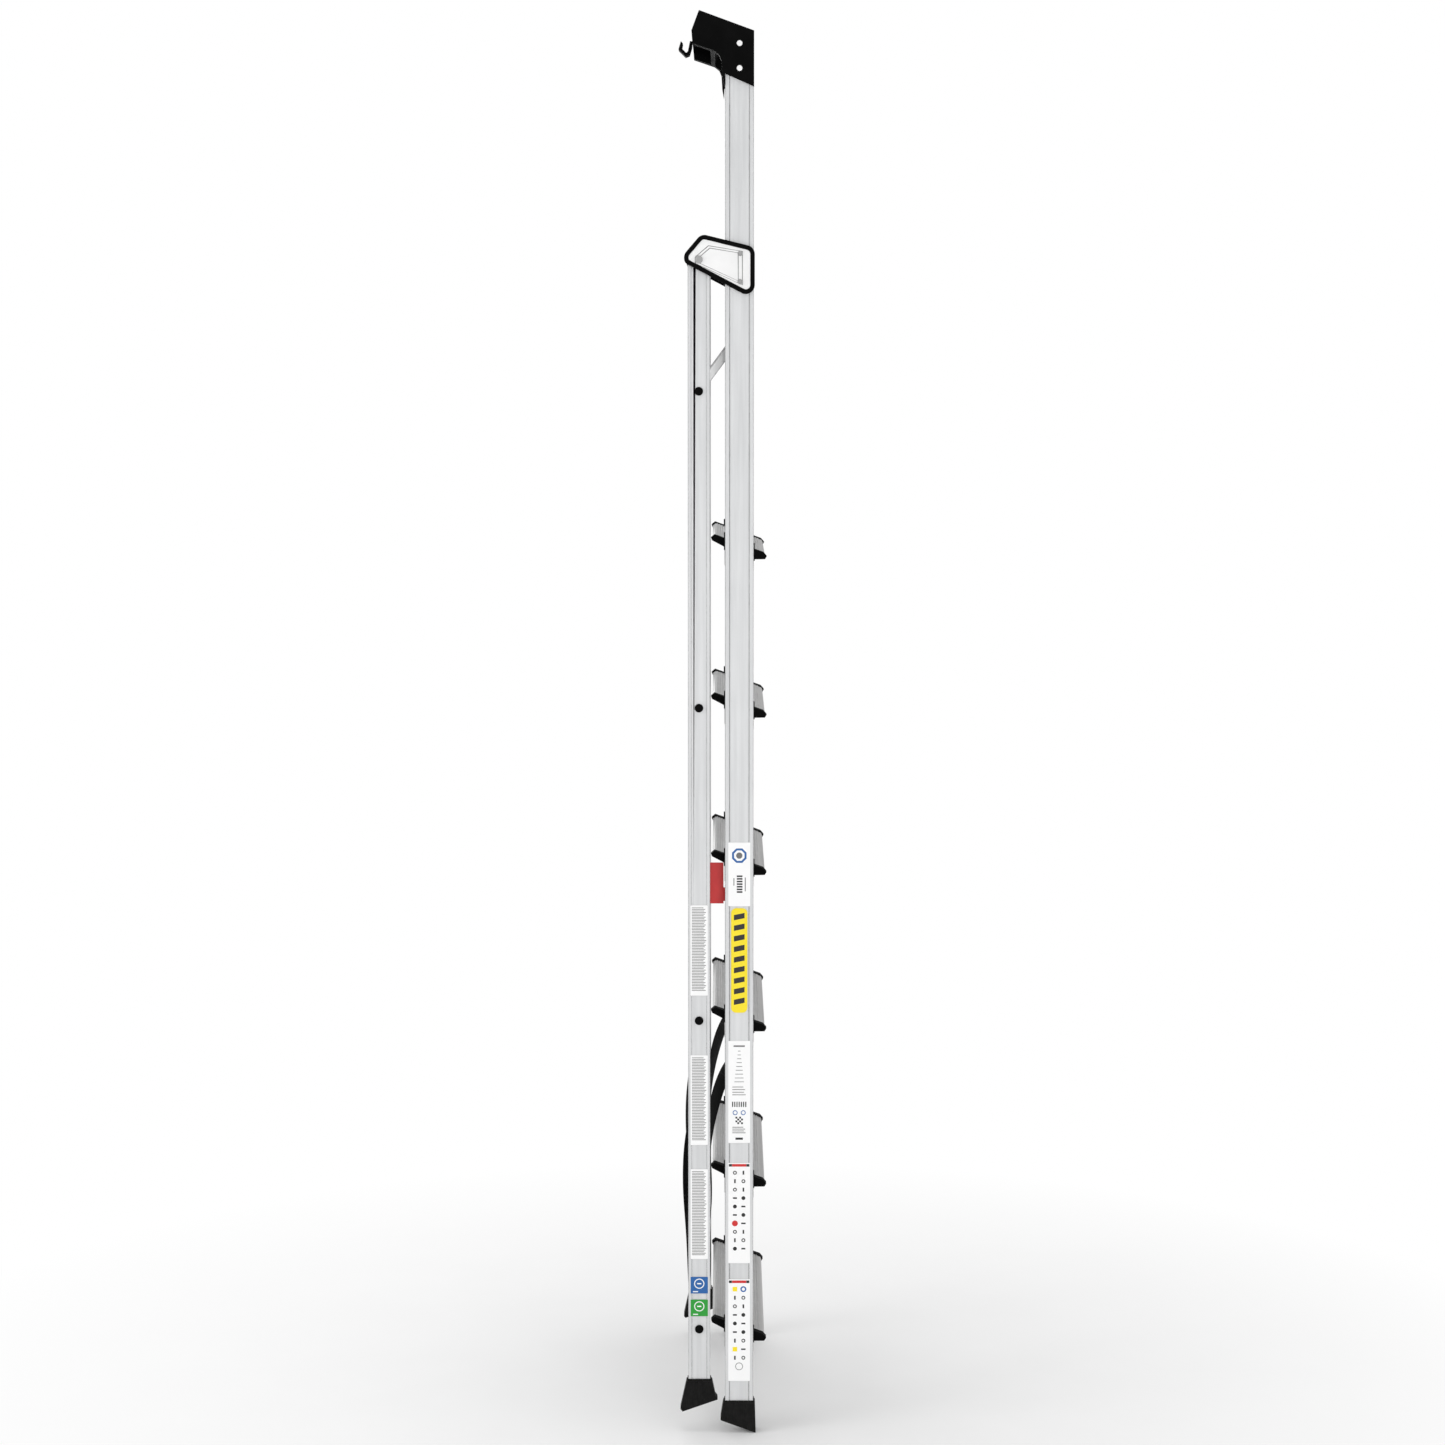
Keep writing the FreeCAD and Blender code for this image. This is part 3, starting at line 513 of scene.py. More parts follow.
def finish(name, dark, light, rough, metallic, specular, texture, bump, edge_wear_and_shade_colour, edge_wear_and_shade_amount,
           dust=0.35, edge=0.0012, even=0.0, ior=1.5):
    """A finished surface. texture is a socket builder that gives (value, height) in its tree."""
    material, tree, shader = new_material(name)
    value, height = texture(tree)
    marks = use_group(tree, HANDLING)
    edge_wear_and_shade_node = use_group(tree, EDGE_WEAR_AND_SHADE, Amount=edge_wear_and_shade_amount, Radius=edge, Even=even)
    dust_node = use_group(tree, DUST)
    base = mix_colour(tree, value, dark, light)
    # The edge colour is wear on most finishes; on the stiles and link bars it is painted shade along the
    # corners.
    edged = mix_colour(tree, edge_wear_and_shade_node.outputs["Mask"], base, edge_wear_and_shade_colour)
    dusty = math_node(tree, "MULTIPLY", dust_node.outputs["Mask"], dust)
    tree.links.new(mix_colour(tree, dusty, edged, DUST_COLOUR), shader.inputs["Base Color"])
    handled = ramp_node(tree, marks.outputs["Mask"], 0, 1, rough - 0.05, rough + 0.07)
    tree.links.new(math_node(tree, "MULTIPLY_ADD", dusty, 0.3, handled), shader.inputs["Roughness"])
    shader.inputs["Metallic"].default_value = metallic
    shader.inputs["Specular IOR Level"].default_value = specular
    shader.inputs["IOR"].default_value = ior
    add_bump(tree, shader, height, bump)
    print("finish", name, "with", len(tree.nodes), "nodes")
    return material


def grain(density):
    def texture(tree):
        node = use_group(tree, DRAWN_GRAIN, Density=density)
        return ramp_node(tree, node.outputs["Broad"], 0.3, 0.7), node.outputs["Fine"]
    return texture


def moulded(scale):
    def texture(tree):
        node = use_group(tree, MOULDED, Scale=scale)
        marks = use_group(tree, HANDLING, Scale=22.0)
        return marks.outputs["Mask"], node.outputs["Height"]
    return texture


def ribbed(pitch):
    """Upright ribs, a pitch apart along y, with a moulded skin over them."""
    def texture(tree):
        place = tree.nodes.new("ShaderNodeTexCoord")
        parts = tree.nodes.new("ShaderNodeSeparateXYZ")
        tree.links.new(place.outputs["Object"], parts.inputs[0])
        wave = math_node(tree, "SINE", math_node(tree, "MULTIPLY", parts.outputs["Y"], 2 * pi / pitch))
        marks = use_group(tree, HANDLING, Scale=22.0)
        return marks.outputs["Mask"], math_node(tree, "MULTIPLY_ADD", wave, 0.5, 0.5)
    return texture


# %% [markdown]
# ** Metals.** The stiles are extruded aluminium with a natural satin finish: pale, soft in its gloss,
# with lines along the extrusion, and a dark line of shade painted along their corners. The treads are
# the same metal, given a darker mid grey as painted shade, because they are seen from below and behind.
# Pressed brackets and rivets are brighter and less even.

# %% Metal finishes
ALONG_Z = (900.0, 900.0, 2.0)
ALONG_X = (2.0, 900.0, 900.0)

finishes = {}
# Dark grey, nearly unbroken along every corner: painted shade on the stile's edges.
finishes["stile_aluminium"] = finish(
    "satin_stile_aluminium", grey(0.57, -0.012), grey(0.65, -0.010), 0.46, 0.20, 0.5,
    grain(ALONG_Z), 0.00002, grey(0.10), 0.9, dust=0.2, edge=0.0024, even=0.8,
)
# Darker than the stiles' metal: the treads' grey is painted shade, as they are seen from below.
finishes["tread_aluminium"] = finish(
    "ribbed_tread_aluminium_shaded", grey(0.40), grey(0.50), 0.42, 0.35, 0.5,
    grain(ALONG_X), 0.00004, grey(0.75), 0.6,
)
finishes["bracket_metal"] = finish(
    "pressed_bracket_metal", grey(0.50, 0.01), grey(0.68, 0.01), 0.38, 0.8, 0.5,
    moulded(500.0), 0.00006, grey(0.8), 0.5,
)
finishes["rivet_steel"] = finish(
    "satin_rivet_steel", grey(0.78), grey(0.90), 0.36, 0.3, 0.5,
    moulded(900.0), 0.00003, grey(0.9), 0.3, dust=0.15,
)

# The link bars are pale flat bars with an unbroken dark line of shade painted along their edges, and the
# rivets of the joint plates are duller than the others, so those nodes get a finish of their own.
bar_finish = finish(
    "pale_link_aluminium", grey(0.66), grey(0.74), 0.40, 0.25, 0.5,
    grain(ALONG_Z), 0.00002, grey(0.03), 1.0, dust=0.1, edge=0.0032, even=1.0,
)
dull_rivet_finish = finish(
    "dull_rivet_steel", grey(0.26), grey(0.36), 0.36, 0.6, 0.5,
    moulded(900.0), 0.00003, grey(0.12), 0.6, dust=0.1,
)

# %% [markdown]
# **Plastics, rubber and card.** The tray, the tread caps and the rims are black moulded plastic, rubbed
# to a dull grey on their corners. The feet are rubber: softer in gloss and dusty. The joint plates are
# smooth white plastic, and the card is printed and slightly glossy.

# %% Plastic, rubber and card finishes
FOOT_RIB_PITCH = 0.004

finishes["black_plastic"] = finish(
    "black_moulded_plastic", grey(0.003), grey(0.005), 0.66, 0.0, 0.10,
    moulded(1400.0), 0.00006, grey(0.020), 0.45, dust=0.0, ior=1.2,
)
finishes["cap_plastic"] = finish(
    "black_cap_plastic", grey(0.003), grey(0.005), 0.62, 0.0, 0.10,
    moulded(1200.0), 0.00006, grey(0.012), 0.4, dust=0.0, ior=1.2,
)
finishes["foot_rubber"] = finish(
    "black_foot_rubber", grey(0.003), grey(0.006), 0.65, 0.0, 0.10,
    ribbed(FOOT_RIB_PITCH), 0.0006, grey(0.03), 0.5, dust=0.03,
)
finishes["white_plastic"] = finish(
    "white_plate_plastic", grey(0.80), grey(0.86), 0.38, 0.0, 0.5,
    moulded(1000.0), 0.00003, grey(0.66), 0.15, dust=0.1,
)
finishes["card"] = finish(
    "red_printed_card", (0.56, 0.018, 0.020, 1), (0.64, 0.026, 0.026, 1), 0.35, 0.0, 0.4,
    moulded(700.0), 0.00004, grey(0.8), 0.4, dust=0.05,
)

# %% [markdown]
# **Webbing.** The straps are woven: ribs of warp run along them and the weft crosses in short steps,
# each half a step off from its neighbour. The pattern follows the band's own coordinates, across and
# along, so that it turns with the twist.

# %% Webbing finish
WARP_RIBS = 14.0
WEFT_STEPS = 26.0


def build_weave():
    inputs = [("Ribs", "NodeSocketFloat", WARP_RIBS), ("Steps", "NodeSocketFloat", WEFT_STEPS)]
    outputs = [("Height", "NodeSocketFloat"), ("Thread", "NodeSocketFloat")]
    group, start, end = new_group("webbing_weave", inputs, outputs)
    place = group.nodes.new("ShaderNodeTexCoord")
    parts = group.nodes.new("ShaderNodeSeparateXYZ")
    group.links.new(place.outputs["UV"], parts.inputs[0])
    ribs = math_node(group, "MULTIPLY", parts.outputs["X"], start.outputs["Ribs"])
    offset = math_node(group, "MULTIPLY", math_node(group, "FLOOR", ribs), 0.5)
    steps = math_node(group, "MULTIPLY_ADD", parts.outputs["Y"], start.outputs["Steps"], offset)
    warp = math_node(group, "ABSOLUTE", math_node(group, "SINE", math_node(group, "MULTIPLY", ribs, pi)))
    turned = math_node(group, "MULTIPLY", steps, pi)
    weft = math_node(group, "ABSOLUTE", math_node(group, "SINE", turned))
    height = math_node(group, "MULTIPLY", math_node(group, "POWER", warp, 0.5), weft)
    fibres = noise_node(group, place.outputs["UV"], 260.0, detail=2.0)
    group.links.new(math_node(group, "MULTIPLY_ADD", fibres, 0.25, height), end.inputs["Height"])
    group.links.new(weft, end.inputs["Thread"])
    return group


def make_webbing():
    material, tree, shader = new_material("black_woven_webbing")
    weave = use_group(tree, build_weave())
    marks = use_group(tree, HANDLING, Scale=30.0)
    woven = mix_colour(tree, weave.outputs["Thread"], grey(0.003), grey(0.008))
    rubbed = math_node(tree, "MULTIPLY", marks.outputs["Mask"], 0.35)
    faded = mix_colour(tree, rubbed, woven, grey(0.012))
    tree.links.new(faded, shader.inputs["Base Color"])
    rough = ramp_node(tree, weave.outputs["Height"], 0, 1, 0.85, 0.68)
    tree.links.new(rough, shader.inputs["Roughness"])
    shader.inputs["Specular IOR Level"].default_value = 0.1
    shader.inputs["Sheen Weight"].default_value = 0.03
    shader.inputs["Sheen Roughness"].default_value = 0.5
    add_bump(tree, shader, weave.outputs["Height"], 0.00025)
    return material


WEBBING = make_webbing()
for strap in straps:
    strap.data.materials.append(WEBBING)

# %% [markdown]
# Every CAD node came in with a plain material named for its slot. Those are swapped for the finishes.
# A narrow bevel takes the perfect sharpness off every hard corner, as a deburred edge or a mould does;
# the points that the file stores twice are merged first, or the bevel would see no shared edges.

# %% Dress the CAD nodes
ROUNDING = {
    "stile_aluminium": 0.0009,
    "tread_aluminium": 0.0003,
    "bracket_metal": 0.0004,
    "black_plastic": 0.0008,
    "cap_plastic": 0.0008,
    "foot_rubber": 0.0012,
    "white_plastic": 0.0004,
    "rivet_steel": 0.0002,
    "card": 0.0001,
}


def round_corners(node, width):
    weld = node.modifiers.new("merge", "WELD")
    weld.merge_threshold = 0.000001
    bevel = node.modifiers.new("soft_corners", "BEVEL")
    bevel.width = width
    bevel.segments = 2
    bevel.limit_method = "ANGLE"
    bevel.angle_limit = radians(35)
    bevel.harden_normals = True


def own_finish(title):
    """The finish for a node that differs from the rest of its slot, or None."""
    if title.startswith("platform_link"):
        return bar_finish
    if title.startswith(("plate_rivets", "hinge_pin")):
        return dull_rivet_finish
    return None


def dress(title, node):
    for place in node.material_slots:
        name = place.material.name.split(".")[0]
        if name in finishes:
            place.material = own_finish(title) or finishes[name]
            round_corners(node, ROUNDING[name])


for title, node in nodes_of.items():
    if not node.hide_render:
        dress(title, node)
print("dressed", sum(not n.hide_render for n in nodes_of.values()), "nodes")

# %% [markdown]
# ## Printed stickers
#
# The near stiles carry instruction stickers. Here they are blank ones: white film with plain bars,
# dots and colour blocks, and no lettering. Each is a thin sheet with its marks printed on as slightly
# thicker patches of ink, so that they stay sharp from any distance. All of them are laid out on a flat
# plane, across and up, and a matrix carries that plane to the stile's sloping face.

# %% Ink and film
PAPER = 0
INK = 1
RED = 2
BLUE = 3
YELLOW = 4
GREEN = 5
GREY = 6


def print_finish(name, colour, rough=0.45):
    """Printed film: the ink's colour wanders slightly and the gloss breaks up."""
    material, tree, shader = new_material(name)
    marks = use_group(tree, HANDLING, Scale=55.0)
    faded = tuple(0.94 * c + 0.01 for c in colour[:3]) + (1,)
    share = math_node(tree, "MULTIPLY", marks.outputs["Mask"], 0.3)
    tree.links.new(mix_colour(tree, share, colour, faded), shader.inputs["Base Color"])
    gloss = ramp_node(tree, marks.outputs["Mask"], 0, 1, rough, rough + 0.12)
    tree.links.new(gloss, shader.inputs["Roughness"])
    skin = use_group(tree, MOULDED, Scale=2600.0)
    add_bump(tree, shader, skin.outputs["Height"], 0.00001)
    return material


PRINT = [
    print_finish("sticker_film", grey(0.88)),
    print_finish("black_ink", grey(0.006)),
    print_finish("red_ink", (0.58, 0.012, 0.012, 1)),
    print_finish("blue_ink", (0.004, 0.100, 0.34, 1)),
    print_finish("yellow_ink", (0.88, 0.70, 0.004, 1)),
    print_finish("green_ink", (0.004, 0.29, 0.018, 1)),
    print_finish("grey_ink", grey(0.14)),
]
print("inks:", len(PRINT))

# %% Flat shapes
FILM = 0.00020
INK_HEIGHT = 0.00005


def rectangle(u, v, wide, high):
    """A bar with its middle at (u, v)."""
    return [(u - wide / 2, v - high / 2), (u + wide / 2, v - high / 2),
            (u + wide / 2, v + high / 2), (u - wide / 2, v + high / 2)]


def polygon(u, v, radius, sides, start=0.0):
    turns = [start + 2 * pi * i / sides for i in range(sides)]
    return [(u + radius * cos(t), v + radius * sin(t)) for t in turns]


def soft_rectangle(u, v, wide, high, corner, steps=4):
    """A rectangle with round corners."""
    outline = []
    corners = ((1, 1, 0), (-1, 1, 1), (-1, -1, 2), (1, -1, 3))
    for right, up, quarter in corners:
        for i in range(steps + 1):
            t = (quarter + i / steps) * pi / 2
            du = right * (wide / 2 - corner) + corner * cos(t)
            dv = up * (high / 2 - corner) + corner * sin(t)
            outline.append((u + du, v + dv))
    return outline


class Sheet:
    """A flat piece built from patches, each a closed solid between two heights."""

    def __init__(self, name, plane):
        self.name = name
        self.plane = plane
        self.bm = bmesh.new()

    def patch(self, outline, low, high, ink, hole=None):
        """A patch with this outline. A hole is a second outline with as many points."""
        def ring(points, height):
            return [self.bm.verts.new(self.plane @ Vector((u, v, height))) for u, v in points]
        outer = [ring(outline, low), ring(outline, high)]
        inner = [ring(hole, low), ring(hole, high)] if hole else None
        count = len(outline)
        faces = []
        for i in range(count):
            k = (i + 1) % count
            faces.append((outer[0][i], outer[0][k], outer[1][k], outer[1][i]))
            if hole:
                faces.append((inner[0][k], inner[0][i], inner[1][i], inner[1][k]))
                faces.append((outer[1][i], outer[1][k], inner[1][k], inner[1][i]))
                faces.append((outer[0][k], outer[0][i], inner[0][i], inner[0][k]))
        if not hole:
            faces += [tuple(outer[1]), tuple(reversed(outer[0]))]
        for corners in faces:
            self.bm.faces.new(corners).material_index = ink

    def film(self, outline, ink=PAPER):
        self.patch(outline, 0.0, FILM, ink)

    def mark(self, outline, ink=INK, hole=None):
        self.patch(outline, FILM, FILM + INK_HEIGHT, ink, hole)

    def close(self, body, slot, materials):
        bmesh.ops.recalc_face_normals(self.bm, faces=self.bm.faces)
        piece = piece_from(self.bm, self.name)
        for material in materials:
            piece.data.materials.append(material)
        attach(piece, body)
        print(self.name, "has", len(piece.data.polygons), "faces")
        return piece


# %% Planes on the stiles' outer faces


def outer_plane(node, y, z, side=-1):
    """The flat plane on a stile's outer face, its origin at height z. side is -1 for the -X stile."""
    mesh = nodes_of[node].data
    reach = max(abs(v.co.x) + TAPER * v.co.z for v in mesh.vertices)
    origin = Vector((side * (reach - TAPER * z), y, z))
    up = Vector((-side * TAPER, 0, 1)).normalized()
    across = Vector((0, side, 0))
    out = across.cross(up)
    plane = Matrix((across, up, out)).transposed().to_4x4()
    plane.translation = origin
    return plane


foot = outer_plane("front_stile_left", FRONT_Y, 0).translation
print("outer face at the foot:", [round(v, 4) for v in foot])

# %% [markdown]
# The stickers on the climbing stile, from the top: a round mark over a block of bars, a yellow band,
# a sheet of fine lines, and two sheets of small marks in two columns under a red heading. The small
# marks come from a short list of plain shapes, taken in turn.

# %% Stickers on the climbing stile
FRONT_HALF = 0.0175
COLUMN = 0.0068
CORNER = 0.0015
ROUND_MARK_SPAN = (0.852, 0.954)
YELLOW_BAND_AT = 0.765
FINE_PRINT_SPAN = (0.471, 0.636)
UPPER_MARKS_SPAN = (0.276, 0.439)
LOWER_MARKS_SPAN = (0.084, 0.250)
MARK_SIZE = 0.0064
DISC_R = 0.0048
HEADING_HIGH = 0.0042
LINE_SERIES = 0.618


def sheet_between(name, node, y, low, high, half):
    sheet = Sheet(name, outer_plane(node, y, (low + high) / 2))
    sheet.film(soft_rectangle(0, 0, 2 * half, high - low, CORNER))
    return sheet


def text_lines(sheet, top, bottom, half, pitch, ink=GREY, height=0.0012):
    """Plain bars in place of lines of print. Their lengths follow an uneven, fixed series."""
    count = int((top - bottom) / pitch)
    for i in range(count):
        share = 0.80 + 0.20 * ((i * LINE_SERIES) % 1.0)
        wide = 2 * half * share
        sheet.mark(rectangle(wide / 2 - half, top - i * pitch, wide, height), ink)


def small_mark(sheet, kind, u, v, size):
    """One of four plain shapes."""
    if kind == 0:
        sheet.mark(polygon(u, v, size / 2, 12))
    elif kind == 1:
        sheet.mark(rectangle(u, v, size * 0.4, size))
    elif kind == 2:
        sheet.mark(rectangle(u, v, size, size * 0.4))
    else:
        sheet.mark(polygon(u, v, size / 2, 12), hole=polygon(u, v, size / 4, 12))


def mark_grid(sheet, top, rows, pitch, size, skipped):
    for row in range(rows):
        if row in skipped:
            continue
        for column in (-1, 1):
            kind = (row * 2 + column + row // 3) % 4
            small_mark(sheet, kind, column * COLUMN, top - row * pitch, size)


def make_round_mark_sticker():
    sheet = sheet_between("sticker_round_mark", "front_stile_left", FRONT_Y, *ROUND_MARK_SPAN, FRONT_HALF)
    sheet.mark(polygon(0, 0.030, 0.0125, 8, pi / 8), BLUE, hole=polygon(0, 0.030, 0.0090, 8, pi / 8))
    sheet.mark(polygon(0, 0.030, 0.0050, 16), GREY)
    for i in range(7):
        sheet.mark(rectangle(0.0006, -0.003 - i * 0.0042, 0.0090, 0.0026))
    sheet.mark(rectangle(0.0095, -0.016, 0.0012, 0.022), INK)
    sheet.mark(rectangle(-0.0085, -0.012, 0.0012, 0.012), INK)
    sheet.close("climbing_frame", "card", PRINT)


def make_yellow_band():
    sheet = Sheet("sticker_yellow_band", outer_plane("front_stile_left", FRONT_Y, YELLOW_BAND_AT))
    sheet.film(soft_rectangle(0, 0, 0.026, 0.168, 0.008), YELLOW)
    slant = 0.0035
    for i in range(9):
        v = 0.068 - i * 0.017
        bar = [(-0.0085, v - slant), (0.0085, v), (0.0085, v + 0.0085), (-0.0085, v + 0.0085 - slant)]
        sheet.mark(bar)
    sheet.close("climbing_frame", "card", PRINT)


def make_fine_print_sticker():
    sheet = sheet_between("sticker_fine_print", "front_stile_left", FRONT_Y, *FINE_PRINT_SPAN, FRONT_HALF)
    sheet.mark(rectangle(0, 0.074, 0.018, 0.0025), GREY)
    for i in range(9):
        sheet.mark(rectangle(0, 0.066 - i * 0.0062, 0.004 + i * 0.0014, 0.0010), GREY)
    text_lines(sheet, 0.008, -0.012, 0.011, 0.0042)
    for i in range(7):
        sheet.mark(rectangle(-0.0105 + i * 0.0035, -0.020, 0.0018, 0.0085), INK)
    for u in (-0.0065, 0.0065):
        sheet.mark(polygon(u, -0.0335, 0.0040, 16), BLUE, hole=polygon(u, -0.0335, 0.0027, 16))
    for row in range(4):
        for column in range(4):
            if (row + column) % 2 == 0:
                sheet.mark(rectangle(-0.0045 + column * 0.003, -0.0415 - row * 0.003, 0.003, 0.003))
    text_lines(sheet, -0.057, -0.070, 0.011, 0.0030)
    sheet.mark(rectangle(0, -0.0755, 0.012, 0.0035))
    sheet.close("climbing_frame", "card", PRINT)


def make_marks_sticker(name, low, high, rows, skipped=()):
    """Two columns of small marks under a red heading. Skipped rows are left for other marks."""
    sheet = sheet_between(name, "front_stile_left", FRONT_Y, low, high, FRONT_HALF)
    half = (high - low) / 2
    top = half - 0.016
    pitch = (high - low - 0.026) / rows
    sheet.mark(rectangle(0, half - 0.0040, 1.3 * FRONT_HALF, HEADING_HIGH), RED)
    for end in (-1, 1):
        sheet.mark(rectangle(end * 0.80 * FRONT_HALF, half - 0.0040, 0.28 * FRONT_HALF, HEADING_HIGH), INK)
    mark_grid(sheet, top, rows, pitch, MARK_SIZE, skipped)
    return sheet, [top - row * pitch for row in skipped]


def make_lower_stickers():
    upper, rows = make_marks_sticker("sticker_marks_upper", *UPPER_MARKS_SPAN, 10, skipped=(6,))
    upper.mark(polygon(-COLUMN, rows[0], DISC_R, 18), RED)
    upper.mark(rectangle(COLUMN, rows[0], 0.0072, 0.0024))
    upper.close("climbing_frame", "card", PRINT)
    lower, rows = make_marks_sticker("sticker_marks_lower", *LOWER_MARKS_SPAN, 10, skipped=(0, 7, 9))
    for v in rows[:2]:
        lower.mark(polygon(-COLUMN, v, 0.0052, 4, pi / 4), YELLOW)
    lower.mark(polygon(COLUMN, rows[0], DISC_R, 18), BLUE, hole=polygon(COLUMN, rows[0], 0.0026, 18))
    lower.mark(rectangle(COLUMN, rows[1], 0.0072, 0.0024))
    lower.mark(polygon(0, rows[2], 0.0062, 20), GREY, hole=polygon(0, rows[2], 0.0052, 20))
    lower.close("climbing_frame", "card", PRINT)


make_round_mark_sticker()
make_yellow_band()
make_fine_print_sticker()
make_lower_stickers()

# %% [markdown]
# The rear stile has three narrow sheets of fine lines and two coloured squares with a white ring.

# %% Stickers on the rear stile
REAR_HALF = 0.0138


def make_line_sheet(name, low, high):
    sheet = sheet_between(name, "rear_stile_left", REAR_Y, low, high, REAR_HALF)
    half = (high - low) / 2
    text_lines(sheet, half - 0.004, 0.004 - half, REAR_HALF - 0.0022, 0.0025, height=0.0011)
    sheet.close("supporting_frame", "card", PRINT)


def make_square(name, low, high, ink):
    sheet = Sheet(name, outer_plane("rear_stile_left", REAR_Y, (low + high) / 2))
    sheet.film(soft_rectangle(0, 0, 2 * REAR_HALF, high - low, 0.0006), ink)
    sheet.mark(polygon(0, 0.0025, 0.0082, 24), PAPER, hole=polygon(0, 0.0025, 0.0068, 24))
    sheet.mark(rectangle(0, 0.0025, 0.0066, 0.0020), PAPER)
    sheet.mark(rectangle(-0.006, -0.0105, 0.008, 0.0016), PAPER)
    sheet.close("supporting_frame", "card", PRINT)


make_line_sheet("sticker_lines_upper", 0.708, 0.853)
make_line_sheet("sticker_lines_middle", 0.467, 0.612)
make_line_sheet("sticker_lines_lower", 0.282, 0.428)
make_square("sticker_blue_square", 0.226, 0.253, BLUE)
make_square("sticker_green_square", 0.189, 0.216, GREEN)

# %% [markdown]
# ## Raised outline on the joint plates
#
# Each white joint plate has a faint moulded double line set in from its edge, which runs past its
# rivets. A curve with a small bevel would be round; a moulded line is flat-topped, so it is a thin
# ring of mesh between two copies of the plate's outline, each drawn in towards its middle. The ring is
# coloured dark grey, which paints the shade along the moulded line.

# %% Plate outline
LINE_CORNERS = [(0.070, 0.004), (0.049, 0.022), (-0.005, 0.013), (-0.005, -0.040), (0.070, -0.006)]
LINE_WIDTH = 0.0012


def plate_points(plate, side):
    """The line's corners about the plate's own middle, across and up."""
    centre = middle(plate)
    points = [(side * (y + FRONT_Y - centre.y), HINGE_Z + z - centre.z) for y, z in LINE_CORNERS]
    return points, centre


def drawn_in(points, share, gap=0.0):
    """The outline shrunk about its middle, then by a further gap."""
    cu = sum(p[0] for p in points) / len(points)
    cv = sum(p[1] for p in points) / len(points)
    out = []
    for u, v in points:
        away = Vector((u - cu, v - cv))
        away = away * share - away.normalized() * gap
        out.append((cu + away.x, cv + away.y))
    return out


def make_plate_lines(hand, side):
    plate = "joint_plate_" + hand
    points, centre = plate_points(plate, side)
    sheet = Sheet("joint_plate_lines_" + hand, outer_plane(plate, centre.y, centre.z, side))
    for share in (1.0, 0.84):
        outline = drawn_in(points, share)
        sheet.patch(outline, -0.0002, 0.0002, 0, hole=drawn_in(points, share, LINE_WIDTH))
    # Grey ink on the white plate: painted shade of the moulded line.
    sheet.close("climbing_frame", "white_plastic", [PRINT[GREY]])


make_plate_lines("left", -1)
make_plate_lines("right", 1)

# %% [markdown]
# ## Stitching
#
# Where a strap is doubled back round its pin it is sewn. Each stitch is a short thread, a little proud
# of the webbing, in two rows across the band below the pin.

# %% Stitching on the straps
STITCHES = 9
STITCH_LONG = 0.0021
STITCH_R = 0.00035
STITCH_SPREAD = 0.86
SEWN_AT = (0.020, 0.032)


def thread(bm, centre, direction, normal, length):
    """A short six-sided thread that lies flat along its direction."""
    side = direction.cross(normal)
    rings = []
    for along, size in ((-0.5, 0.35), (-0.3, 1.0), (0.3, 1.0), (0.5, 0.35)):
        ring = []
        for i in range(6):
            t = i * pi / 3
            offset = side * (cos(t) * STITCH_R * size) + normal * (sin(t) * STITCH_R * size)
            ring.append(bm.verts.new(centre + direction * (along * length) + offset))
        rings.append(ring)
    for a, b in zip(rings, rings[1:]):
        for i in range(6):
            bm.faces.new((a[i], a[(i + 1) % 6], b[(i + 1) % 6], b[i]))
    bm.faces.new(list(reversed(rings[0])))
    bm.faces.new(rings[-1])


def stitch_material():
    material, tree, shader = new_material("black_sewing_thread")
    place = tree.nodes.new("ShaderNodeTexCoord")
    twist = noise_node(tree, place.outputs["Object"], 2200.0, detail=2.0)
    tree.links.new(mix_colour(tree, twist, grey(0.012), grey(0.045)), shader.inputs["Base Color"])
    tree.links.new(ramp_node(tree, twist, 0.3, 0.7, 0.5, 0.7), shader.inputs["Roughness"])
    add_bump(tree, shader, twist, 0.0001)
    return material


THREAD = stitch_material()


def make_stitches(name, body, line, at, side):
    """Two rows of stitches across the band at two distances along its line."""
    run = distances(line)
    bm = bmesh.new()
    for s in at:
        i = min(range(len(run)), key=lambda k: abs(run[k] - s))
        wide, up = band_axes(line, run, i, side)
        for k in range(STITCHES):
            u = (k - (STITCHES - 1) / 2) * STRAP_WIDTH * STITCH_SPREAD / STITCHES
            for face in (-1, 1):
                centre = line[i] + wide * u + up * (face * STRAP_THICK / 2)
                thread(bm, centre, wide, up * face, STITCH_LONG)
    bmesh.ops.recalc_face_normals(bm, faces=bm.faces)
    piece = piece_from(bm, name)
    piece.data.materials.append(THREAD)
    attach(piece, body)
    print(name, "has", len(at) * STITCHES * 2, "stitches")


for hand in ("right", "left"):
    x, side, line = strap_line(hand)
    total = distances(line)[-1]
    make_stitches("strap_stitches_front_" + hand, "strap_front_" + hand, line, SEWN_AT, side)
    ends = tuple(total - s for s in reversed(SEWN_AT))
    make_stitches("strap_stitches_rear_" + hand, "strap_rear_" + hand, line, ends, side)

# %% [markdown]
# ## Floor and light
#
# The floor is a plain pale disc. Near the ladder it takes the light and the soft shadow, and further
# out it fades to the white of the room, so that no horizon cuts across behind the ladder. Large soft
# lights stand to the camera's side, above and behind. The display is set to its plain curve, so that
# white film shows as white and black plastic as black.

# %% Floor
FLOOR_RADIUS = 30.0
FLOOR_SIDES = 96
FADE_START = 0.25
FADE_END = 1.5


